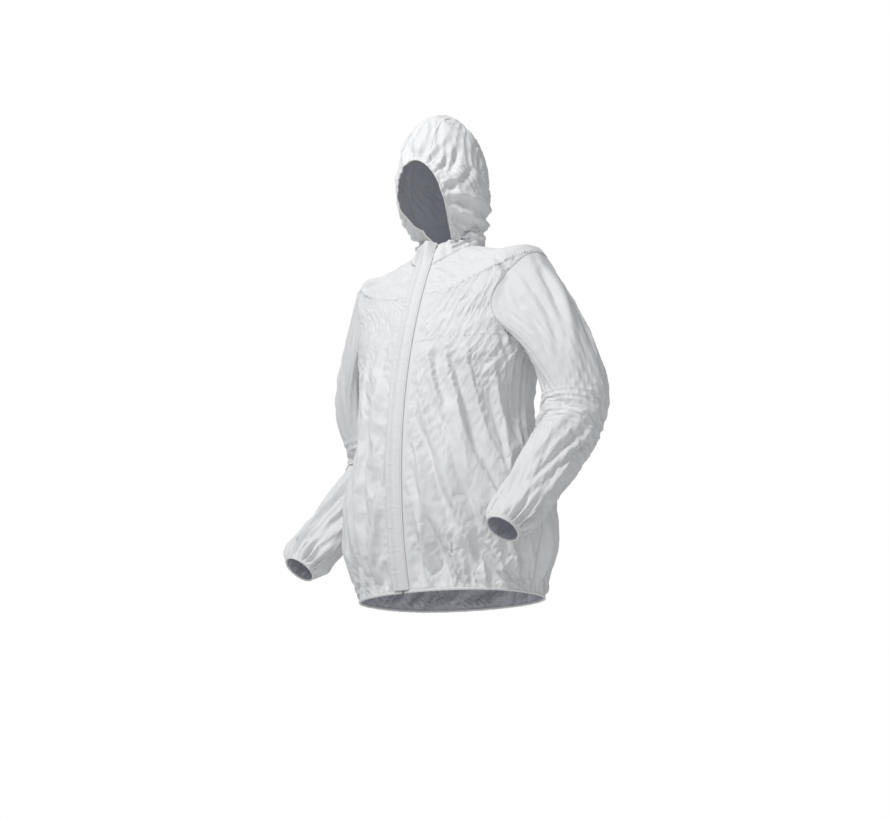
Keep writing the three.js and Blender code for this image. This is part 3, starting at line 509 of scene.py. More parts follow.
def sleeveDepth(grid, along, length, seed):
    turn = turnsOf(grid, along)
    around = turn * sleeve["mean"]
    down = along * length
    upper = between(along, 0.04, 0.42, 0.10)
    bend = between(along, 0.36, 0.62, 0.10)
    fore = between(along, 0.55, 0.97, 0.10)
    closedWave = 2 * math.pi * sleeve["mean"]
    bulk = 0.0015 * creases(around, down, seed, closedWave / 12, 0.20, 0.0, 9)
    ringed = 0.0020 * creases(down + 0.020 * np.sin(turn + 0.6), around * 0.6, seed + 3, 0.042, 0.0, 0.10)
    cuff = gathers(around, (1 - along) * length, seed + 6, finest=closedWave / 34, octaves=5, strength=0.12)
    return smooth(along / seamEase) * ((upper + 0.8 * fore) * bulk + bend * ringed + cuff)


hoodFolds = [
    ([(62, 3.3), (56, 3.12), (44, 2.9)], 0.011, -0.009),
    ([(48, 3.22), (43, 3.08), (37, 2.92)], 0.009, -0.007),
    ([(56, 2.75), (44, 2.3)], 0.010, -0.008),
    ([(76, 2.25), (60, 2.0), (50, 1.75)], 0.012, -0.008),
    ([(80, 3.1), (68, 2.9), (56, 2.6)], 0.011, -0.007),
    ([(30, 0.35), (60, 0.45), (90, 0.7)], 0.007, -0.005),
    ([(24, 0.75), (52, 0.85), (84, 1.1)], 0.008, -0.006),
    ([(34, 1.15), (62, 1.25), (96, 1.5)], 0.009, -0.007),
    ([(50, 1.5), (80, 1.65), (112, 1.9)], 0.011, -0.007),
    ([(84, 0.3), (110, 0.55), (140, 0.7)], 0.009, -0.006),
    ([(100, 0.9), (130, 1.1), (160, 1.2)], 0.012, -0.008),
    ([(96, 1.5), (124, 1.8), (150, 2.0)], 0.014, -0.008),
    ([(100, 2.3), (120, 2.7), (128, 3.1)], 0.014, -0.006),
    ([(140, 2.2), (146, 2.7), (150, 3.2)], 0.014, -0.006),
    ([(84, 2.5), (92, 2.9), (94, 3.3)], 0.012, -0.005),
]


def fromEdge(grid, edge):
    # The distance to the nearest of every second point of the face's edge
    return np.sqrt(((grid[:, :, None, :] - edge[None, None, ::2, :]) ** 2).sum(-1)).min(-1)


def roundFace(grid):
    # Metres round the face: the angle about its middle height, times the opening's mean radius
    return np.arctan2(grid[..., 2] - hood["faceMiddle"], np.abs(grid[..., 0]) + 1e-6) * hood["faceRadius"]


def poleFade(grid):
    return smooth((hood["height"] - grid[..., 2]) / 0.02)


def hoodDepth(grid, surface, seed):
    across = runAcross(grid)
    z = grid[..., 2]
    away = fromEdge(grid, grid[faceRowFirst:faceRowLast + 1, 0])
    bearing = roundFace(grid)
    pucker = gathers(bearing, away, seed, finest=0.010, octaves=4, strength=0.13)
    radial = 0.0022 * creases(bearing, away, seed + 3, 0.022, 0.0, 0.05) * np.exp(-away / 0.05)
    neck = 0.0016 * creases(z, across, seed + 5, 0.017, 0.0, 0.12) * between(z, 0.0, 0.09, 0.05)
    crown = 0.0016 * creases(across, z, seed + 8, 0.035, 0.2, 0.2) * smooth((z - 0.08) / 0.06)
    deep = pleats(grid, surface, hoodFolds)
    return poleFade(grid) * (pucker + smooth(away / 0.022) * (radial + neck + crown + deep))


leftFront = surfaceGrid(bodyPoint, torsoV, frontEnds(torsoV, torsoReach), mesh["columns"])[0]
rightFront = leftFront * [-1, 1, 1]
backGrid = surfaceGrid(bodyPoint, torsoV, backEnds(torsoV, torsoReach), 2 * mesh["columns"])[0]
sleeveRowsAt = np.linspace(0, 1, mesh["sleeveRows"])
sleeveTurns = np.linspace(0, 360, 2 * mesh["rowsArmhole"], endpoint=False)
sleeveShapes = {side: makeSleeve(side) for side in ("left", "right")}
turnGrid, alongGrid = np.meshgrid(sleeveTurns, sleeveRowsAt)
leftSleeve = sleeveShapes["left"][0](turnGrid, alongGrid)
rightSleeve = sleeveShapes["right"][0](turnGrid, alongGrid) * [-1, 1, 1]
leftHood = surfaceGrid(hoodPoint, hoodV, hoodEnds(hoodV, hoodReach), 62)[0]


def axisOf(side):
    path = sleeveShapes[side][1] * ([1, 1, 1] if side == "left" else [-1, 1, 1])
    rows = np.linspace(0, len(path) - 1, mesh["sleeveRows"]).astype(int)
    return path[rows][:, None, :]


torsoInside = leftFront[:, :1] * [0, 0, 1]
hoodInside = np.array([0, -0.025, 0.075])
toRight = np.array([-1, 1, 1])


def folded(grid, closed, inside, depth):
    return grid + normalsOf(grid, closed, inside) * depth[..., None]


def mirror(surface):
    return lambda *at: surface(*at) * toRight


def sleeveFolded(grid, side, seed):
    worn, _, length = sleeveShapes[side]
    surface = worn if side == "left" else mirror(worn)
    depth = sleeveDepth(grid, alongGrid, length, seed) + pleats(grid, surface, sleeveFolds)
    return folded(grid, True, axisOf(side), depth)


grids = {
    "front_left": folded(leftFront, False, torsoInside,
                         torsoDepth(leftFront, 1) + pleats(leftFront, bodyPoint, frontFolds)),
    "front_right": folded(rightFront, False, torsoInside,
                          torsoDepth(rightFront, -1) + pleats(rightFront, mirror(bodyPoint), farFolds)),
    "back": folded(backGrid, False, torsoInside,
                   torsoDepth(backGrid, 0) + pleats(backGrid, bodyPoint, backFolds)),
    "sleeve_left": sleeveFolded(leftSleeve, "left", 31),
    "sleeve_right": sleeveFolded(rightSleeve, "right", 51),
    "hood_left": folded(leftHood, False, hoodInside,
                        hoodDepth(leftHood, hoodPoint, 71)),
    "hood_right": folded(leftHood * toRight, False, hoodInside,
                         hoodDepth(leftHood * toRight, mirror(hoodPoint), 91)),
}
unfolded = {"front_left": leftFront, "front_right": rightFront, "back": backGrid, "sleeve_left": leftSleeve,
            "sleeve_right": rightSleeve, "hood_left": leftHood, "hood_right": leftHood * toRight}
closedGrids = ("sleeve_left", "sleeve_right")


# The cloth settles between its seams and its elastics
settling = {"frames": 12, "grow": 0.03, "loose": 0.03, "tension": 18, "bending": 1.2, "gravity": 0.15,
            "mass": 0.1, "damping": 4, "steps": 4, "furthest": 0.014, "byZip": 0.028}


def welded(parts):
    # Points that lay together before they were folded become one, at their mean
    plain = np.concatenate([unfolded[name].reshape(-1, 3) for name in parts])
    _, number = np.unique(np.round(plain, 5) + 0.0, axis=0, return_inverse=True)
    number = number.reshape(-1)
    every = np.concatenate([grid.reshape(-1, 3) for grid in parts.values()])
    share = np.bincount(number)[:, None]
    points = np.stack([np.bincount(number, every[:, k]) for k in range(3)], -1) / share
    numbers, start, faces = {}, 0, []
    for name, grid in parts.items():
        rows, columns = grid.shape[:2]
        index = number[start:start + rows * columns].reshape(rows, columns)
        start += rows * columns
        numbers[name] = index
        faces.append(quadsOf(closedRound(index) if name in closedGrids else index))
    return points, numbers, np.concatenate(faces)


def split(quads):
    # Each quad as two triangles that share the line between its first and third corners
    return np.concatenate([quads[:, [0, 1, 2]], quads[:, [0, 2, 3]]])


def meshOf(name, points, triangles, materialIndex=None):
    # Triangles whose corners have run together are left out, and so are points that no face uses
    data = bpy.data.meshes.new(name)
    a, b, c = triangles.T
    whole = (a != b) & (b != c) & (c != a)
    used, triangles = np.unique(triangles[whole], return_inverse=True)
    data.from_pydata(points[used].tolist(), [], triangles.reshape(-1, 3).tolist())
    if materialIndex is not None:
        data.polygons.foreach_set("material_index", materialIndex[whole].astype(np.int32))
    data.polygons.foreach_set("use_smooth", np.ones(len(data.polygons), bool))
    data.update()
    return data


def heldWeights(parts, numbers, count):
    # 1 at the zip, the neck seam and the elastics, and little elsewhere
    weight = np.full(count, settling["loose"])

    def hold(index, value):
        np.maximum.at(weight, np.asarray(index).reshape(-1), value)

    for name in ("front_left", "front_right"):
        byZip = np.abs(parts[name][..., 0]) < settling["byZip"]
        hold(numbers[name][byZip], 1)
    for name in ("front_left", "front_right", "back"):
        hold(numbers[name][0], 1)
        hold(numbers[name][-1], 1)
        hold(numbers[name][1:4], 0.5)
    for name in ("hood_left", "hood_right"):
        hold(numbers[name][0], 1)
        hold(numbers[name][:faceRowLast + 1, 0], 1)
        hold(numbers[name][:, 1:3], 0.4)
        hold(numbers[name][-3:], 0.6)
    for name in closedGrids:
        hold(numbers[name][-1], 1)
        hold(numbers[name][-5:-1], 0.4)
        hold(numbers[name][0], 0.25)
    return weight


def settle(parts):
    points, numbers, quads = welded(parts)
    data = meshOf("settling", points, split(quads))
    cloth = placed("settling", data)
    weight = np.round(heldWeights(parts, numbers, len(points)), 3)
    group = cloth.vertex_groups.new(name="held")
    for value in np.unique(weight):
        group.add(np.nonzero(weight == value)[0].tolist(), float(value), "REPLACE")
    modifier = cloth.modifiers.new("cloth", "CLOTH")
    setup = modifier.settings
    setup.quality = settling["steps"]
    setup.mass = settling["mass"]
    setup.air_damping = settling["damping"]
    setup.tension_stiffness = setup.compression_stiffness = settling["tension"]
    setup.shear_stiffness = settling["tension"] / 3
    setup.bending_stiffness = settling["bending"]
    setup.vertex_group_mass = "held"
    setup.shrink_min = -settling["grow"]
    setup.effector_weights.gravity = settling["gravity"]
    modifier.collision_settings.use_collision = False
    modifier.point_cache.frame_start = 1
    modifier.point_cache.frame_end = settling["frames"]
    scene = bpy.context.scene
    for number in range(1, settling["frames"] + 1):
        scene.frame_set(number)
    result = cloth.evaluated_get(bpy.context.evaluated_depsgraph_get()).to_mesh()
    moved = np.empty(len(points) * 3)
    result.vertices.foreach_get("co", moved)
    moved = moved.reshape(-1, 3)
    step = moved - points
    size = np.linalg.norm(step, axis=1, keepdims=True)
    moved = points + step * np.minimum(1, settling["furthest"] / np.maximum(size, 1e-9))
    bpy.data.objects.remove(cloth)
    scene.frame_set(1)
    return {name: moved[numbers[name]] for name in parts}


print("stage: cloth settles")
shaped = grids
grids = settle(shaped)


print("stage: pieces")


def hermite(b, c, m, n, t):
    # b(2t^3 - 3t^2 + 1) + m(t^3 - 2t^2 + t) + c(3t^2 - 2t^3) + n(t^3 - t^2), m and n being the slopes
    return (b * (2 * t ** 3 - 3 * t ** 2 + 1) + m * (t ** 3 - 2 * t ** 2 + t)
            + c * (3 * t ** 2 - 2 * t ** 3) + n * (t ** 3 - t ** 2))


def resampled(values, count, closed):
    # A cubic curve down the rows, which are placed by their mean distance apart
    if closed:
        values = np.concatenate([values[-3:], values, values[:3]])
    apart = lengthOf(np.diff(values, axis=0)).mean(1)
    place = np.concatenate([[0], np.cumsum(apart)])
    slope = np.gradient(values, place, axis=0)
    low, high = (place[3], place[-3]) if closed else (place[0], place[-1])
    target = np.linspace(low, high, count, endpoint=not closed)
    i = np.clip(np.searchsorted(place, target, side="right") - 1, 0, len(place) - 2)
    h = (place[i + 1] - place[i])[:, None, None]
    t = (target - place[i])[:, None, None] / h
    return hermite(values[i], values[i + 1], slope[i] * h, slope[i + 1] * h, t)


def finer(grid, rows, columns, closed=False):
    return resampled(resampled(grid, rows, False).swapaxes(0, 1), columns, closed).swapaxes(0, 1)


def acrossRows(rows, place):
    # A cubic through the four nearest points of each row, at a place counted in columns
    last = rows.shape[1] - 1
    i = np.clip(place.astype(int), 0, last - 1)
    t = (place - i)[..., None]
    line = np.arange(len(rows))[:, None]
    a, b, c, d = (rows[line, np.clip(i + k, 0, last)] for k in (-1, 0, 1, 2))
    return b + t * ((c - a) / 2 + t * (a - 2.5 * b + 2 * c - d / 2 + t * (1.5 * (b - c) + (d - a) / 2)))


def finelyCut(name, surface, flip, rows, fineRows, ends, columns, steps, fineSteps, apart):
    # How far the settled cloth lies from the worn surface, read by angle and ring number on the rows that are
    # at least a step apart, and set to the sewn edges exactly within 14 mm of them. Where the rows bunch up,
    # at the opening's ends, the cloth keeps its folds and doesn't settle
    nearEdge, nearBunch = 0.014, 0.4
    (v, reach), (fineV, fineReach) = rows, fineRows
    shift = grids[name] - unfolded[name]
    bunched = np.abs(v[:, None] - v[[steps[0], steps[0] + steps[1]]][None, :]).min(1)
    eased = smooth(bunched / nearBunch)[:, None, None]
    inner = shaped[name] - unfolded[name] + eased * (grids[name] - shaped[name])
    plain, angles = surfaceGrid(surface, fineV, ends(fineV, fineReach), columns)
    plain = plain * flip
    firm = np.array([0, steps[0], steps[0] + steps[1], sum(steps)])
    clear = np.abs(v[:, None] - v[firm][None, :]).min(1) > apart
    clear[firm] = True
    kept = np.nonzero(clear)[0]
    keptV, low, high = v[kept], *(line[kept] for line in ends(v, reach))
    at = np.clip(np.searchsorted(keptV, fineV, side="right") - 1, 0, len(kept) - 2)

    def shiftAt(row):
        row = np.clip(row, 0, len(kept) - 1)
        place = (angles - low[row][:, None]) / np.maximum(high - low, 1e-9)[row][:, None]
        place = np.clip(place, 0, 1) * (inner.shape[1] - 1)
        return acrossRows(inner[kept[row]], place), keptV[row][:, None, None]

    (a, va), (b, vb), (c, vc), (d, vd) = (shiftAt(at + k) for k in (-1, 0, 1, 2))
    h = vc - vb
    t = (fineV[:, None, None] - vb) / h
    value = hermite(b, c, (c - a) * (h / (vc - va)), (d - b) * (h / (vd - vb)), t)
    starts = np.concatenate([[0], np.cumsum(steps)])
    parts = (starts[k] + np.linspace(0, steps[k], fineSteps[k] + 1)[1:] for k in range(3))
    place = np.concatenate([[0], *parts])
    for column in (0, -1):
        true = np.stack([np.interp(place, np.arange(len(v)), shift[:, column, k]) for k in range(3)], -1)
        edge = plain[:, column]
        square = (plain ** 2).sum(-1)[..., None] + (edge ** 2).sum(-1) - 2 * plain @ edge.T
        nearest = square.argmin(-1)
        distance = np.sqrt(np.maximum(square.min(-1), 0))
        nearest[:, column] = np.arange(len(edge))
        distance[:, column] = 0
        value = value + smooth(1 - distance / nearEdge)[..., None] * (true - value[:, column])[nearest]
    return plain + value


def edgeFade(grid, closed):
    # 0 on a panel's sewn edges and 1 a few rows in, so that neighbours still meet
    rows, columns = grid.shape[:2]
    down = np.arange(rows)[:, None]
    fadeRows = 4.0
    fade = smooth(np.minimum(down, rows - 1 - down) / fadeRows) + np.zeros((1, columns))
    if not closed:
        over = np.arange(columns)[None, :]
        fade = fade * smooth(np.minimum(over, columns - 1 - over) / fadeRows)
    return fade


def link(name, data, materials):
    for material in materials:
        data.materials.append(material)
    return placed(name, data)


def facesOut(points, face, inside):
    corner = points[face[:, 0]]
    normal = np.cross(points[face[:, 1]] - corner, points[face[:, 2]] - corner)
    return (normal * (corner - inside)).sum() >= 0


def sheetPiece(name, grid, closed, inside, materials, thickness=0.0004):
    # The outer face is the grid, the inner one lies a thickness inside, and a rim joins them
    rows, columns = grid.shape[:2]
    inner = grid - normalsOf(grid, closed, inside) * thickness
    index = np.arange(rows * columns).reshape(rows, columns)
    if closed:
        index = closedRound(index)
    under = index + rows * columns
    face = quadsOf(index)
    back = face[:, [0, 3, 2, 1]] + rows * columns

    def rim(line, below):
        return np.stack([line[1:], line[:-1], below[:-1], below[1:]], -1)

    rims = [rim(index[0], under[0]), rim(index[-1], under[-1])[:, ::-1]]
    if not closed:
        rims += [rim(index[:, 0], under[:, 0])[:, ::-1], rim(index[:, -1], under[:, -1])]
    quads = np.concatenate([face, back, *rims])
    points = np.concatenate([grid.reshape(-1, 3), inner.reshape(-1, 3)])
    slotOf = np.tile(np.concatenate([np.zeros(len(face), int), np.ones(len(back), int),
                                     np.zeros(sum(len(r) for r in rims), int)]), 2)
    if not facesOut(points, face, inner.reshape(-1, 3)[face[:, 0]]):
        quads = quads[:, [0, 3, 2, 1]]
    return link(name, meshOf(name, points, split(quads), slotOf), materials)


def tube(name, path, radius, materials, closed=False, sides=8, flat=1.0, facing=None):
    # A profile (r cos a, flat * r sin a) carried along the path, its ends closed by points
    path = np.asarray(path, float)
    along = np.roll(path, -1, 0) - np.roll(path, 1, 0) if closed else np.gradient(path, axis=0)
    along /= np.maximum(np.linalg.norm(along, axis=1, keepdims=True), 1e-9)
    out = path - path.mean(0) if facing is None else facing
    side = np.cross(along, out)
    side /= np.maximum(np.linalg.norm(side, axis=1, keepdims=True), 1e-9)
    up = np.cross(side, along)
    a = np.linspace(0, 2 * math.pi, sides, endpoint=False)[None, :, None]
    radius = np.broadcast_to(radius, (len(path),))[:, None, None]
    ring = path[:, None] + radius * (np.cos(a) * side[:, None] + flat * np.sin(a) * up[:, None])
    if not closed:
        ring = np.concatenate([path[:1, None] + 0 * ring[:1], ring, path[-1:, None] + 0 * ring[-1:]])
    rows = len(ring)
    index = np.arange(rows * sides).reshape(rows, sides)
    if not closed:
        index[0], index[-1] = index[0, 0], index[-1, 0]
    index = closedRound(index)
    if closed:
        index = np.concatenate([index, index[:1]])
    quads = quadsOf(index)
    points = ring.reshape(-1, 3)
    middle = ring.mean(1, keepdims=True)
    at = len(ring) // 2
    if not facesOut(points, quads[at * sides:(at + 1) * sides], middle[at]):
        quads = quads[:, ::-1]
    return link(name, meshOf(name, points, split(quads)), materials)


class Field:
    # A node's output with arithmetic on it
    def __init__(self, tree, socket):
        self.tree, self.socket = tree, socket

    def _math(self, operation, *others):
        node = self.tree.nodes.new("ShaderNodeMath")
        node.operation = operation
        for slot, value in zip(node.inputs, (self, *others)):
            if isinstance(value, Field):
                self.tree.links.new(value.socket, slot)
            else:
                slot.default_value = value
        return Field(self.tree, node.outputs[0])

    def __add__(self, other):
        return self._math("ADD", other)

    def __mul__(self, other):
        return self._math("MULTIPLY", other)

    def __sub__(self, other):
        return self._math("SUBTRACT", other)

    def __rsub__(self, other):
        return self._math("MULTIPLY", -1.0)._math("ADD", other)

    __radd__, __rmul__ = __add__, __mul__

    def power(self, other):
        return self._math("POWER", other)

    def folded(self):
        return self._math("ABSOLUTE")


class Shader:
    def __init__(self, name, **constants):
        self.material = bpy.data.materials.new(name)
        self.material.use_nodes = True
        self.tree = self.material.node_tree
        self.surface = next(n for n in self.tree.nodes if n.type == "BSDF_PRINCIPLED")
        self.material.diffuse_color = (*constants.get("colour", (0.8, 0.8, 0.8)), 1)
        for key, value in constants.items():
            name = {"colour": "Base Color", "rough": "Roughness", "sheen": "Sheen Weight",
                    "specular": "Specular IOR Level", "coat": "Coat Weight"}[key]
            self.surface.inputs[name].default_value = (*value, 1) if key == "colour" else value
        self.place = self.node("TexCoord", out="Object")

    def node(self, kind, out=0, settings=None, placed=None, **inputs):
        node = self.tree.nodes.new("ShaderNode" + kind)
        for key, value in (settings or {}).items():
            setattr(node, key, value)
        for key, value in {**(placed or {}), **inputs}.items():
            slot = node.inputs[key]
            if isinstance(value, Field):
                self.tree.links.new(value.socket, slot)
            else:
                slot.default_value = value
        return Field(self.tree, node.outputs[out])

    def scaled(self, size, turn=(0, 0, 0)):
        return self.node("Mapping", Vector=self.place, Scale=size, Rotation=turn)

    def noise(self, scale, detail=3.0, where=None, distortion=0.0, roughness=0.55):
        return self.node("TexNoise", Vector=where or self.place, Scale=scale, Detail=detail,
                         Roughness=roughness, Distortion=distortion)

    def mix(self, share, first, second):
        # A colour mixer's factor, colours and result have these places among its sockets
        return self.node("Mix", 2, {"data_type": "RGBA"}, {0: share, 6: (*first, 1), 7: (*second, 1)})

    def feed(self, name, field):
        self.tree.links.new(field.socket, self.surface.inputs[name])

    def bump(self, height, distance, strength=1.0, below=None):
        inputs = {"Height": height, "Distance": distance, "Strength": strength}
        if below is not None:
            inputs["Normal"] = below
        return self.node("Bump", **inputs)


def fabricMaterial(name, dark, light, rough=0.62, crinkle=1.0, glow=0.0):
    # Flash-spun fibres: swirls a few millimetres long over a fine emboss, with soft creases above them
    # The inside glows a little: painted light, standing in for the light that comes through the cloth
    shader = Shader(name, colour=light, rough=rough, sheen=0.08, specular=0.3)
    # Emission is painted light: the inside glows though it is no lamp
    shader.surface.inputs["Emission Color"].default_value = (0.86, 0.88, 1.0, 1)
    shader.surface.inputs["Emission Strength"].default_value = glow
    cloud = shader.noise(9.0, 4.0)
    swirl = shader.noise(170.0, 5.0, distortion=2.4, roughness=0.7)
    fibre = shader.noise(620.0, 4.0, where=shader.scaled((1.0, 1.0, 0.35), (0.3, 0.2, 0.5)), distortion=1.2)
    dots = shader.node("TexVoronoi", Vector=shader.place, Scale=900.0, Randomness=0.35)
    shader.feed("Base Color", shader.mix(cloud * 0.45 + swirl * 0.35 + fibre * 0.20, dark, light))
    shader.feed("Roughness", cloud * 0.12 + swirl * 0.12 + (rough - 0.12))
    long = shader.noise(34.0, 4.0, where=shader.scaled((1.0, 1.0, 0.28), (0.10, 0.16, 0.0)), distortion=0.5)
    crease = (long - 0.5).folded().power(0.7)
    sharp = shader.node("TexVoronoi", settings={"feature": "DISTANCE_TO_EDGE"},
                        Vector=shader.scaled((1.0, 1.0, 0.45), (0.2, 0.3, 0.1)), Scale=42.0, Randomness=1.0)
    web = sharp.power(0.5)
    soft = shader.bump(crease * 0.7 + web * 0.25, 0.0022 * crinkle, 0.55)
    middle = shader.bump(swirl, 0.0006, 0.5, soft)
    shader.feed("Normal", shader.bump(fibre * 0.7 + dots * 0.3, 0.00018, 0.55, middle))
    return shader.material


def wovenMaterial(name, colour, pitch, rough=0.8, depth=0.0003):
    # Ribs across and along, as a product of two waves
    shader = Shader(name, colour=colour, rough=rough, specular=0.25, sheen=0.1)
    bands = [shader.node("TexWave", settings={"bands_direction": way}, Vector=shader.place, Scale=pitch,
                         Distortion=0.6, Detail=2.0) for way in ("X", "Z")]
    weave = bands[0] * bands[1]
    grime = shader.noise(60.0, 4.0)
    shade = [c * 0.82 for c in colour]
    shader.feed("Base Color", shader.mix(weave * 0.5 + grime * 0.5, shade, colour))
    shader.feed("Normal", shader.bump(weave + grime * 0.2, depth, 0.8))
    return shader.material


def threadMaterial():
    # Looped stitches: slanting waves a millimetre and a half apart
    shader = Shader("thread_white", colour=(0.82, 0.83, 0.84), rough=0.7, specular=0.3)
    slant = shader.node("TexWave", settings={"bands_direction": "DIAGONAL"}, Vector=shader.place, Scale=210.0,
                        Distortion=1.5, Detail=2.0)
    fuzz = shader.noise(900.0, 3.0)
    shader.feed("Base Color", shader.mix(slant * 0.7 + fuzz * 0.3, (0.66, 0.67, 0.69), (0.86, 0.87, 0.88)))
    shader.feed("Normal", shader.bump(slant + fuzz * 0.3, 0.0006, 0.9))
    return shader.material


def coilMaterial():
    shader = Shader("coil_white", colour=(0.72, 0.72, 0.72), rough=0.35, specular=0.5)
    teeth = shader.node("TexWave", settings={"bands_direction": "Z", "wave_profile": "SIN"},
                        Vector=shader.place, Scale=210.0, Distortion=0.0)
    wear = shader.noise(400.0, 3.0)
    shader.feed("Base Color", shader.mix(teeth * 0.8 + wear * 0.2, (0.42, 0.42, 0.43), (0.80, 0.80, 0.80)))
    shader.feed("Normal", shader.bump(teeth, 0.0009, 1.0))
    return shader.material


def fittingMaterial():
    # White enamel over cast metal, thinner and duller where it rubs
    shader = Shader("fitting_white", colour=(0.74, 0.74, 0.73), rough=0.32, coat=0.25, specular=0.5)
    rub = shader.noise(240.0, 5.0)
    grain = shader.noise(1800.0, 3.0)
    shader.feed("Base Color", shader.mix(rub, (0.60, 0.60, 0.60), (0.80, 0.80, 0.79)))
    shader.feed("Roughness", rub * 0.25 + 0.22)
    shader.feed("Normal", shader.bump(grain + rub, 0.00008, 0.7))
    return shader.material


print("stage: materials")
outside = fabricMaterial("fabric_outside", (0.74, 0.745, 0.75), (0.87, 0.87, 0.868))
# The inside's grey-blue colours are painted shade on the white cloth, and its glow of 0.055 is painted light
paintedShadeAndLightInside = fabricMaterial("fabric_inside_painted_shade_and_light", (0.40, 0.41, 0.44), (0.48, 0.49, 0.52), 0.9, 0.3, 0.055)
threads = threadMaterial()
tapeCloth = wovenMaterial("tape_white", (0.80, 0.80, 0.79), 160.0)
labelCloth = wovenMaterial("label_white", (0.80, 0.80, 0.79), 320.0, 0.6, 0.00012)
coils = coilMaterial()
fittings = fittingMaterial()
cloths = [outside, paintedShadeAndLightInside]


def paint(material, *names):
    for name in names:
        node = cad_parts[name]
        node.data.materials.clear()
        node.data.materials.append(material)


paint(tapeCloth, "zip_tape_left", "zip_tape_right")
paint(coils, "zip_coil_left", "zip_coil_right")
paint(fittings, "zip_pin", "zip_box", "zip_top_stop_left", "zip_top_stop_right", "zip_slider", "zip_pull")
paint(labelCloth, "size_label")

print("stage: panels")


def ripple(grid, closed, inside, height):
    return grid + normalsOf(grid, closed, inside) * (height * edgeFade(grid, closed))[..., None]


def fineTorso(grid, seed):
    # The last, finest puckers above the hem, and small creases everywhere
    across, up = runAcross(grid), grid[..., 2] + body["length"]
    puckers = gathers(across, np.maximum(up, 0), seed, finest=0.0095, octaves=3, strength=0.17)
    quiet = smooth((np.abs(grid[..., 0]) - 0.012) / 0.02) if seed != 203 else 1
    small = 0.00045 * creases(across, grid[..., 2], seed + 1, 0.011, 0.2, 0.3)
    return quiet * (puckers + small)


def fineSleeve(grid, along, length, seed):
    around = turnsOf(grid, along) * sleeve["mean"]
    closedWave = 2 * math.pi * sleeve["mean"]
    puckers = gathers(around, (1 - along) * length, seed, finest=closedWave / 38, octaves=3, strength=0.16)
    small = 0.00045 * creases(around, along * length, seed + 1, closedWave / 32, 0.0, 0.0)
    return puckers + smooth(along / seamEase) * small


def widened(values, rows):
    at = np.linspace(0, len(values) - 1, rows)
    return np.stack([np.interp(at, np.arange(len(values)), values[:, 0, k]) for k in range(3)], -1)[:, None]


panels = {}
fineTorsoSteps, fineHoodSteps, sleeveFine = (128, 72, 28), (24, 72, 44), (220, 168)
fineTorsoRows = torsoRows(*fineTorsoSteps)
torsoCentre = widened(torsoInside, sum(fineTorsoSteps) + 1)
for seed, name, flip, ends, columns in ((201, "front_left", [1, 1, 1], frontEnds, 140),
                                        (202, "front_right", [-1, 1, 1], frontEnds, 140),
                                        (203, "back", [1, 1, 1], backEnds, 208)):
    grid = finelyCut(name, bodyPoint, flip, (torsoV, torsoReach), fineTorsoRows, ends, columns, torsoSteps,
                     fineTorsoSteps, 0.035)
    panels[name] = ripple(grid, False, torsoCentre, fineTorso(grid, seed))
for seed, side in ((211, "left"), (212, "right")):
    name = "sleeve_" + side
    grid = finer(grids[name], *sleeveFine, True)
    alongRows = np.linspace(0, 1, sleeveFine[0])[:, None] + np.zeros((1, sleeveFine[1]))
    centre = widened(axisOf(side), sleeveFine[0])
    fine = fineSleeve(grid, alongRows, sleeveShapes[side][2], seed)
    panels[name] = ripple(grid, True, centre, fine)


sewn = {node: sheetPiece(name, panels[name], False, torsoCentre, cloths) for node, name in
        (("front_panel_left", "front_left"), ("front_panel_right", "front_right"), ("back_panel", "back"))}
for side in ("left", "right"):
    name = "sleeve_" + side
    centre = widened(axisOf(side), sleeveFine[0])
    sewn[name] = sheetPiece("sleeve_shell_" + side, panels[name], True, centre, cloths)

# The hood is one shell: its left half, then its right half in reverse, joined down the back
fineHoodRows = hoodRowsAt(*fineHoodSteps)
halves = [finelyCut(name, hoodPoint, flip, (hoodV, hoodReach), fineHoodRows, hoodEnds, 116, hoodSteps,
                    fineHoodSteps, 0.04)
          for name, flip in (("hood_left", [1, 1, 1]), ("hood_right", [-1, 1, 1]))]
hoodFine = np.concatenate([halves[0], halves[1][:, ::-1][:, 1:]], 1)
edgeDistance = lengthOf(hoodFine[:, 0] - hoodFine[:, -1])
faceRows = np.nonzero(edgeDistance > 2.6 * zipHalf)[0]
faceFrom, faceTo = int(faceRows[0]) - 1, int(faceRows[-1]) + 2


def fineHood(grid):
    away = fromEdge(grid, np.concatenate([grid[faceFrom:faceTo, 0], grid[faceFrom:faceTo, -1]]))
    return gathers(roundFace(grid), away, 220, finest=0.0075, octaves=2, strength=0.12) * poleFade(grid)


hoodFine = ripple(hoodFine, False, hoodInside, fineHood(hoodFine))
hoodShell = sheetPiece("hood_shell", hoodFine, False, hoodInside, cloths)

print("stage: seams and edges")


def lifted(grid, closed, inside, distance):
    return grid + normalsOf(grid, closed, inside) * distance


seam = {"lift": -0.0003, "side": 0.0011, "armhole": 0.0012, "sleeve": 0.0010, "neck": 0.0014, "hood": 0.0010,
        "parting": 0.004, "sides": 6}
seams = {}
raised = {name: lifted(panels[name], False, torsoCentre, seam["lift"])
          for name in ("front_left", "front_right", "back")}
for side, front, backColumn in (("left", "front_left", 0), ("right", "front_right", -1)):
    edge = raised[front][:, -1]
    apart = lengthOf(edge - raised["back"][:, backColumn])
    parted = np.nonzero(apart > seam["parting"])[0]
    atArmpit, atShoulder = int(parted[0]), int(parted[-1])
    lines = (("side", edge[2:atArmpit + 1], "side", False), ("shoulder", edge[atShoulder:], "side", False),
             ("armhole", panels["sleeve_" + side][0], "armhole", True),
             ("sleeve", panels["sleeve_" + side][2:-6, sleeveFine[1] // 2], "sleeve", False))
    for kind, path, radius, closed in lines:
        name = kind + "_seam_line_" + side
        seams[kind + "_seam_" + side] = tube(name, path, seam[radius], [threads], closed, sides=seam["sides"])


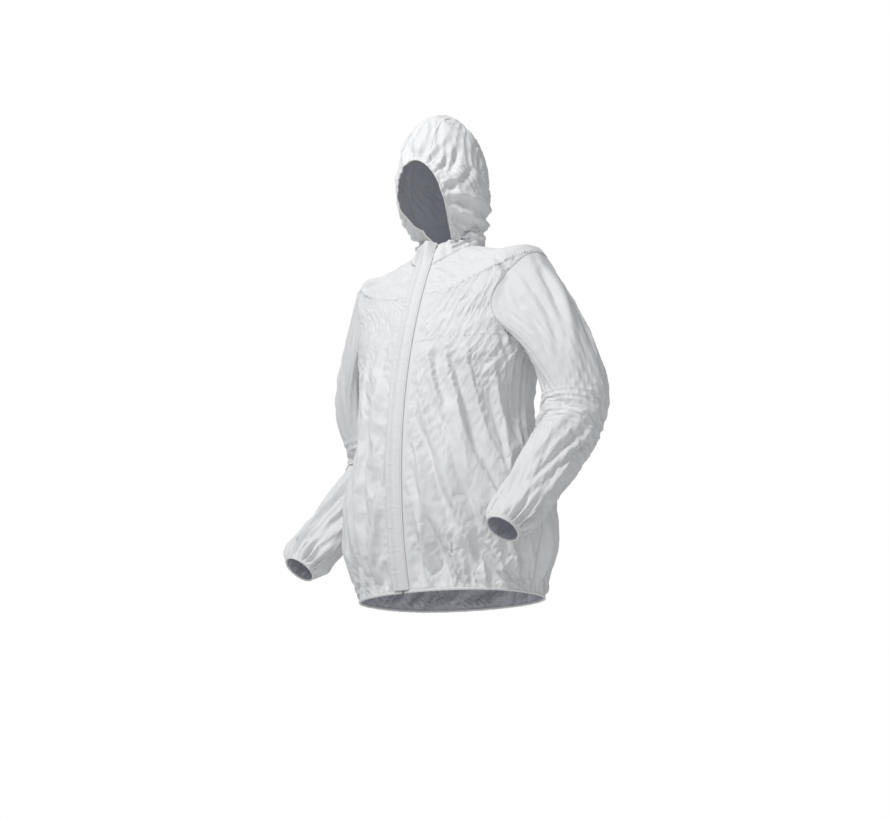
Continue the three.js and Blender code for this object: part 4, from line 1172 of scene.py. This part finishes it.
def bodyRing(sheets, row):
    right = sheets["front_right"][row, ::-1][1:]
    return np.concatenate([sheets["front_left"][row], sheets["back"][row, 1:], right])


seams["neck_seam"] = tube("neck_seam_line", bodyRing(raised, -1), seam["neck"], [threads], sides=8)


def crossing(grid, target):
    # On each row, the place where x passes the target, by linear interpolation between columns
    x = grid[..., 0] - target
    found = []
    for row, line in zip(x, grid):
        change = np.nonzero(np.sign(row[:-1]) * np.sign(row[1:]) < 0)[0]
        for k in change:
            t = row[k] / (row[k] - row[k + 1])
            found.append(line[k] * (1 - t) + line[k + 1] * t)
    return np.array(found)


def hoodSeam(name, sign):
    # Up the back and over the crown to the forehead, in order of the angle about the middle of the hood
    points = crossing(hoodFine, sign * hood["strip"])
    points = points[(points[:, 1] > 0) | (points[:, 2] > hood["faceTop"] - 0.01)]
    turn = np.arctan2(points[:, 2] - 0.12, points[:, 1] + 0.03)
    turn = np.where(turn < -math.pi / 2, turn + 2 * math.pi, turn)
    points = points[np.argsort(turn)]
    kernel = np.ones(5) / 5
    ends = points[[0, -1]]
    points = np.stack([np.convolve(points[:, k], kernel, "valid") for k in range(3)], -1)
    return tube(name, np.concatenate([ends[:1], points[::2], ends[1:]]), seam["hood"], [threads],
                sides=seam["sides"])


seams["hood_seam_left"] = hoodSeam("hood_seam_line_left", 1)
seams["hood_seam_right"] = hoodSeam("hood_seam_line_right", -1)

# Bound edges with elastic inside
edges = {}
# Each binding's radius and the length of its puckers
bound = {"hem": (0.0030, 0.006), "cuff": (0.0028, 0.005), "face": (0.0024, 0.0045)}


def binding(name, path, measures, closed):
    # A rolled edge, pinched in along its length by the elastic's stitches
    radius, grain = measures
    run = runOf(path)
    waves = 2 * math.pi * run / grain
    pinch = 1 + 0.16 * np.sin(waves) + 0.10 * np.sin(waves / 2.3 + 1)
    return tube(name, path, radius * pinch, [outside], closed, sides=10, flat=0.75)


edges["hem_elastic"] = binding("hem_binding", bodyRing(panels, 0), bound["hem"], False)
for side in ("left", "right"):
    cuffEdge = panels["sleeve_" + side][-1]
    edges["cuff_elastic_" + side] = binding("cuff_binding_" + side, cuffEdge, bound["cuff"], True)
faceRing = np.concatenate([hoodFine[faceFrom:faceTo, 0], hoodFine[faceFrom:faceTo, -1][::-1]])
edges["face_elastic"] = binding("face_binding", faceRing, bound["face"], False)

# Storm flap: two layers, arched over the zip, sewn down one side
print("stage: flap")
flap = {"sewn": 0.0175, "free": -0.0235, "top": 0.010, "foot": -0.756, "flare": 0.014, "arch": 0.0066,
        "archHalfWidth": 0.0115, "layer": 0.0010, "stitch": 0.00045, "pitch": 0.0036, "rows": 420,
        "columns": 26}


def flapGrid(rows, columns):
    # Height off the front arc: flat at the sewn edge, arched over the zip and low at the free edge
    z = np.linspace(flap["foot"], flap["top"], rows)[:, None] + np.zeros((1, columns))
    x = np.linspace(flap["sewn"], flap["free"], columns)[None, :] + np.zeros((rows, 1))
    wave = 0.0011 * creases(z, x * 0.3, 301, 0.085, 0.0, 0.05) + 0.0005 * creases(z, x, 302, 0.024, 0.2, 0.2)
    x = x + 0.0016 * np.sin(z * 31 + 1) * smooth((flap["sewn"] - x) / 0.03)
    arch = flap["arch"] * np.exp(-((x - 0.0005) / flap["archHalfWidth"]) ** 2)
    apart = smooth((flap["sewn"] - x) / 0.012)
    standing = smooth((z + 0.045) / (flap["top"] + 0.045))
    rest = 0.0013 + 0.0012 * apart
    height = rest + arch + np.abs(wave) * 0.6 * apart + wave * 0.2 * apart
    curl = 0.004 * standing * ((x - 0.002) / 0.02) ** 2
    radius = body["arcRadius"] + height
    angle = np.arcsin((z - body["arcZ"]) / body["arcRadius"])
    y = body["arcY"] - radius * np.cos(angle) - flap["flare"] * standing * (0.35 + 0.65 * apart) + curl
    return np.stack([x, y, body["arcZ"] + radius * np.sin(angle)], -1)


flapInside = np.array([0, 0.3, -0.4])
flapFine = flapGrid(flap["rows"], flap["columns"])
flapPiece = sheetPiece("flap", flapFine, False, flapInside, [outside, outside], flap["layer"])


def stitchRow(name, column):
    path = lifted(flapFine, False, flapInside, 0.0001)[4:-4, column]
    run = runOf(path)
    radius = flap["stitch"] * (1 + 0.5 * np.sin(2 * math.pi * run / flap["pitch"]))
    return tube(name, path, radius, [threads], sides=seam["sides"])


flapStitch = stitchRow("flap_stitches", 2)

print("stage: bodies and sheets")


def flatArea(grid, closed=False):
    if closed:
        grid = closedRound(grid)
    across = grid[:-1, 1:] - grid[:-1, :-1]
    up = grid[1:, :-1] - grid[:-1, :-1]
    return float(lengthOf(np.cross(across, up)).sum())


sleeveBlend = {"left": ((0.264, 0, -0.126), (0.361, 0, -0.172)),
               "right": ((-0.264, 0, -0.126), (-0.361, 0, -0.172))}
hoodBlend = ((0, 0, 0.02), (0, 0, 0.22))


def standFor(piece, slotName, rides, *nodes):
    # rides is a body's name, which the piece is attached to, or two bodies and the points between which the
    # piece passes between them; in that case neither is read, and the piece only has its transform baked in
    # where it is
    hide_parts(*nodes)
    if isinstance(rides, str):
        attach(piece, rides)
    else:
        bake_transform(piece)


byHood = ("jacket", "hood", *hoodBlend)
for node in ("front_panel_left", "front_panel_right", "back_panel"):
    standFor(sewn[node], "fabric", "jacket", node)
for side in ("left", "right"):
    bySleeve = ("jacket", side + "_sleeve", *sleeveBlend[side])
    standFor(sewn["sleeve_" + side], "fabric", bySleeve, "sleeve_" + side)
    standFor(seams["sleeve_seam_" + side], "thread", bySleeve, "sleeve_seam_" + side)
    standFor(edges["cuff_elastic_" + side], "elastic", side + "_sleeve", "cuff_elastic_" + side)
    for name in ("side_seam_", "shoulder_seam_", "armhole_seam_"):
        standFor(seams[name + side], "thread", "jacket", name + side)
    standFor(seams["hood_seam_" + side], "thread", byHood, "hood_seam_" + side)
standFor(seams["neck_seam"], "thread", "jacket", "neck_seam")
standFor(edges["hem_elastic"], "elastic", "jacket", "hem_elastic")
standFor(edges["face_elastic"], "elastic", byHood, "face_elastic")
standFor(hoodShell, "fabric", byHood, "hood_side_left", "hood_side_right", "hood_middle",
         "hood_neck_side_left", "hood_neck_side_right", "hood_neck_middle")
flapBlend = ((flap["sewn"] - 0.004, 0, 0), (flap["free"], 0, 0))
standFor(flapPiece, "fabric", ("jacket", "flap", *flapBlend), "storm_flap")
standFor(flapStitch, "thread", "jacket", "flap_seam")

# Flat sizes of the cut panels, in metres
cuts = {
    "front_panel_left": ((0.42, 0.82), "hung", flatArea(leftFront)),
    "front_panel_right": ((0.42, 0.82), "hung", flatArea(rightFront)),
    "back_panel": ((0.70, 0.84), "hung", flatArea(backGrid)),
    "sleeve_left": ((0.48, 0.66), "gathered", flatArea(leftSleeve, True)),
    "sleeve_right": ((0.48, 0.68), "gathered", flatArea(rightSleeve, True)),
}
2 * flatArea(leftHood)

print("stage: light")


def emitter(name, colour, strength):
    material = bpy.data.materials.new(name)
    material.use_nodes = True
    tree = material.node_tree
    tree.nodes.clear()
    glow = tree.nodes.new("ShaderNodeEmission")
    glow.inputs["Color"].default_value = (*colour, 1)
    glow.inputs["Strength"].default_value = strength
    tree.links.new(glow.outputs[0], tree.nodes.new("ShaderNodeOutputMaterial").inputs["Surface"])
    return material


def plane(name, corners, material):
    data = bpy.data.meshes.new(name)
    data.from_pydata(corners, [], [(0, 1, 2, 3)])
    data.materials.append(material)
    placed(name, data)


paleFloor = Shader("floor_pale", colour=(0.86, 0.86, 0.86), rough=0.9)
floorLevel = -1.62
plane("floor", [(-5, -5, floorLevel), (5, -5, floorLevel), (5, 5, floorLevel), (-5, 5, floorLevel)],
      paleFloor.material)
turn = cameraView["turn"] * degree
right = np.array([math.cos(turn), math.sin(turn), 0])
away = np.array([-math.sin(turn), math.cos(turn), 0])
wall = {"away": 7, "middle": 1.6, "side": 4.9, "low": -3.2, "high": 4.2}
wallMiddle = away * wall["away"] + np.array([0, 0, wall["middle"]])
wallCorners = [tuple(wallMiddle + right * x * wall["side"] + np.array([0, 0, wall[z]])) for x, z in
               ((-1, "low"), (1, "low"), (1, "high"), (-1, "high"))]
plane("backdrop", wallCorners, emitter("backdrop_white", (1, 1, 1), 1.0))

world = bpy.data.worlds.new("studio")
world.use_nodes = True
world.node_tree.nodes["Background"].inputs["Color"].default_value = (0.96, 0.97, 1.0, 1)
world.node_tree.nodes["Background"].inputs["Strength"].default_value = 0.36
bpy.context.scene.world = world


def areaLight(name, azimuth, elevation, distance, size, power, aim=(0, 0, -0.3)):
    data = bpy.data.lights.new(name, "AREA")
    data.shape = "DISK"
    data.size = size
    data.energy = power
    lamp = placed(name, data)
    a, e = azimuth * degree, elevation * degree
    offset = np.array([math.sin(a) * math.cos(e), -math.cos(a) * math.cos(e), math.sin(e)]) * distance
    lamp.location = tuple(np.array(aim) + offset)
    lamp.rotation_euler = (math.pi / 2 - e, 0, a)


# Each light's azimuth, elevation, distance, size and power
lights = {"key": (0, 44, 3.0, 0.7, 54), "fill": (44, -12, 3.4, 1.6, 9)}
for name, measures in lights.items():
    areaLight(name, *measures)
bpy.context.scene.view_settings.view_transform = "Standard"
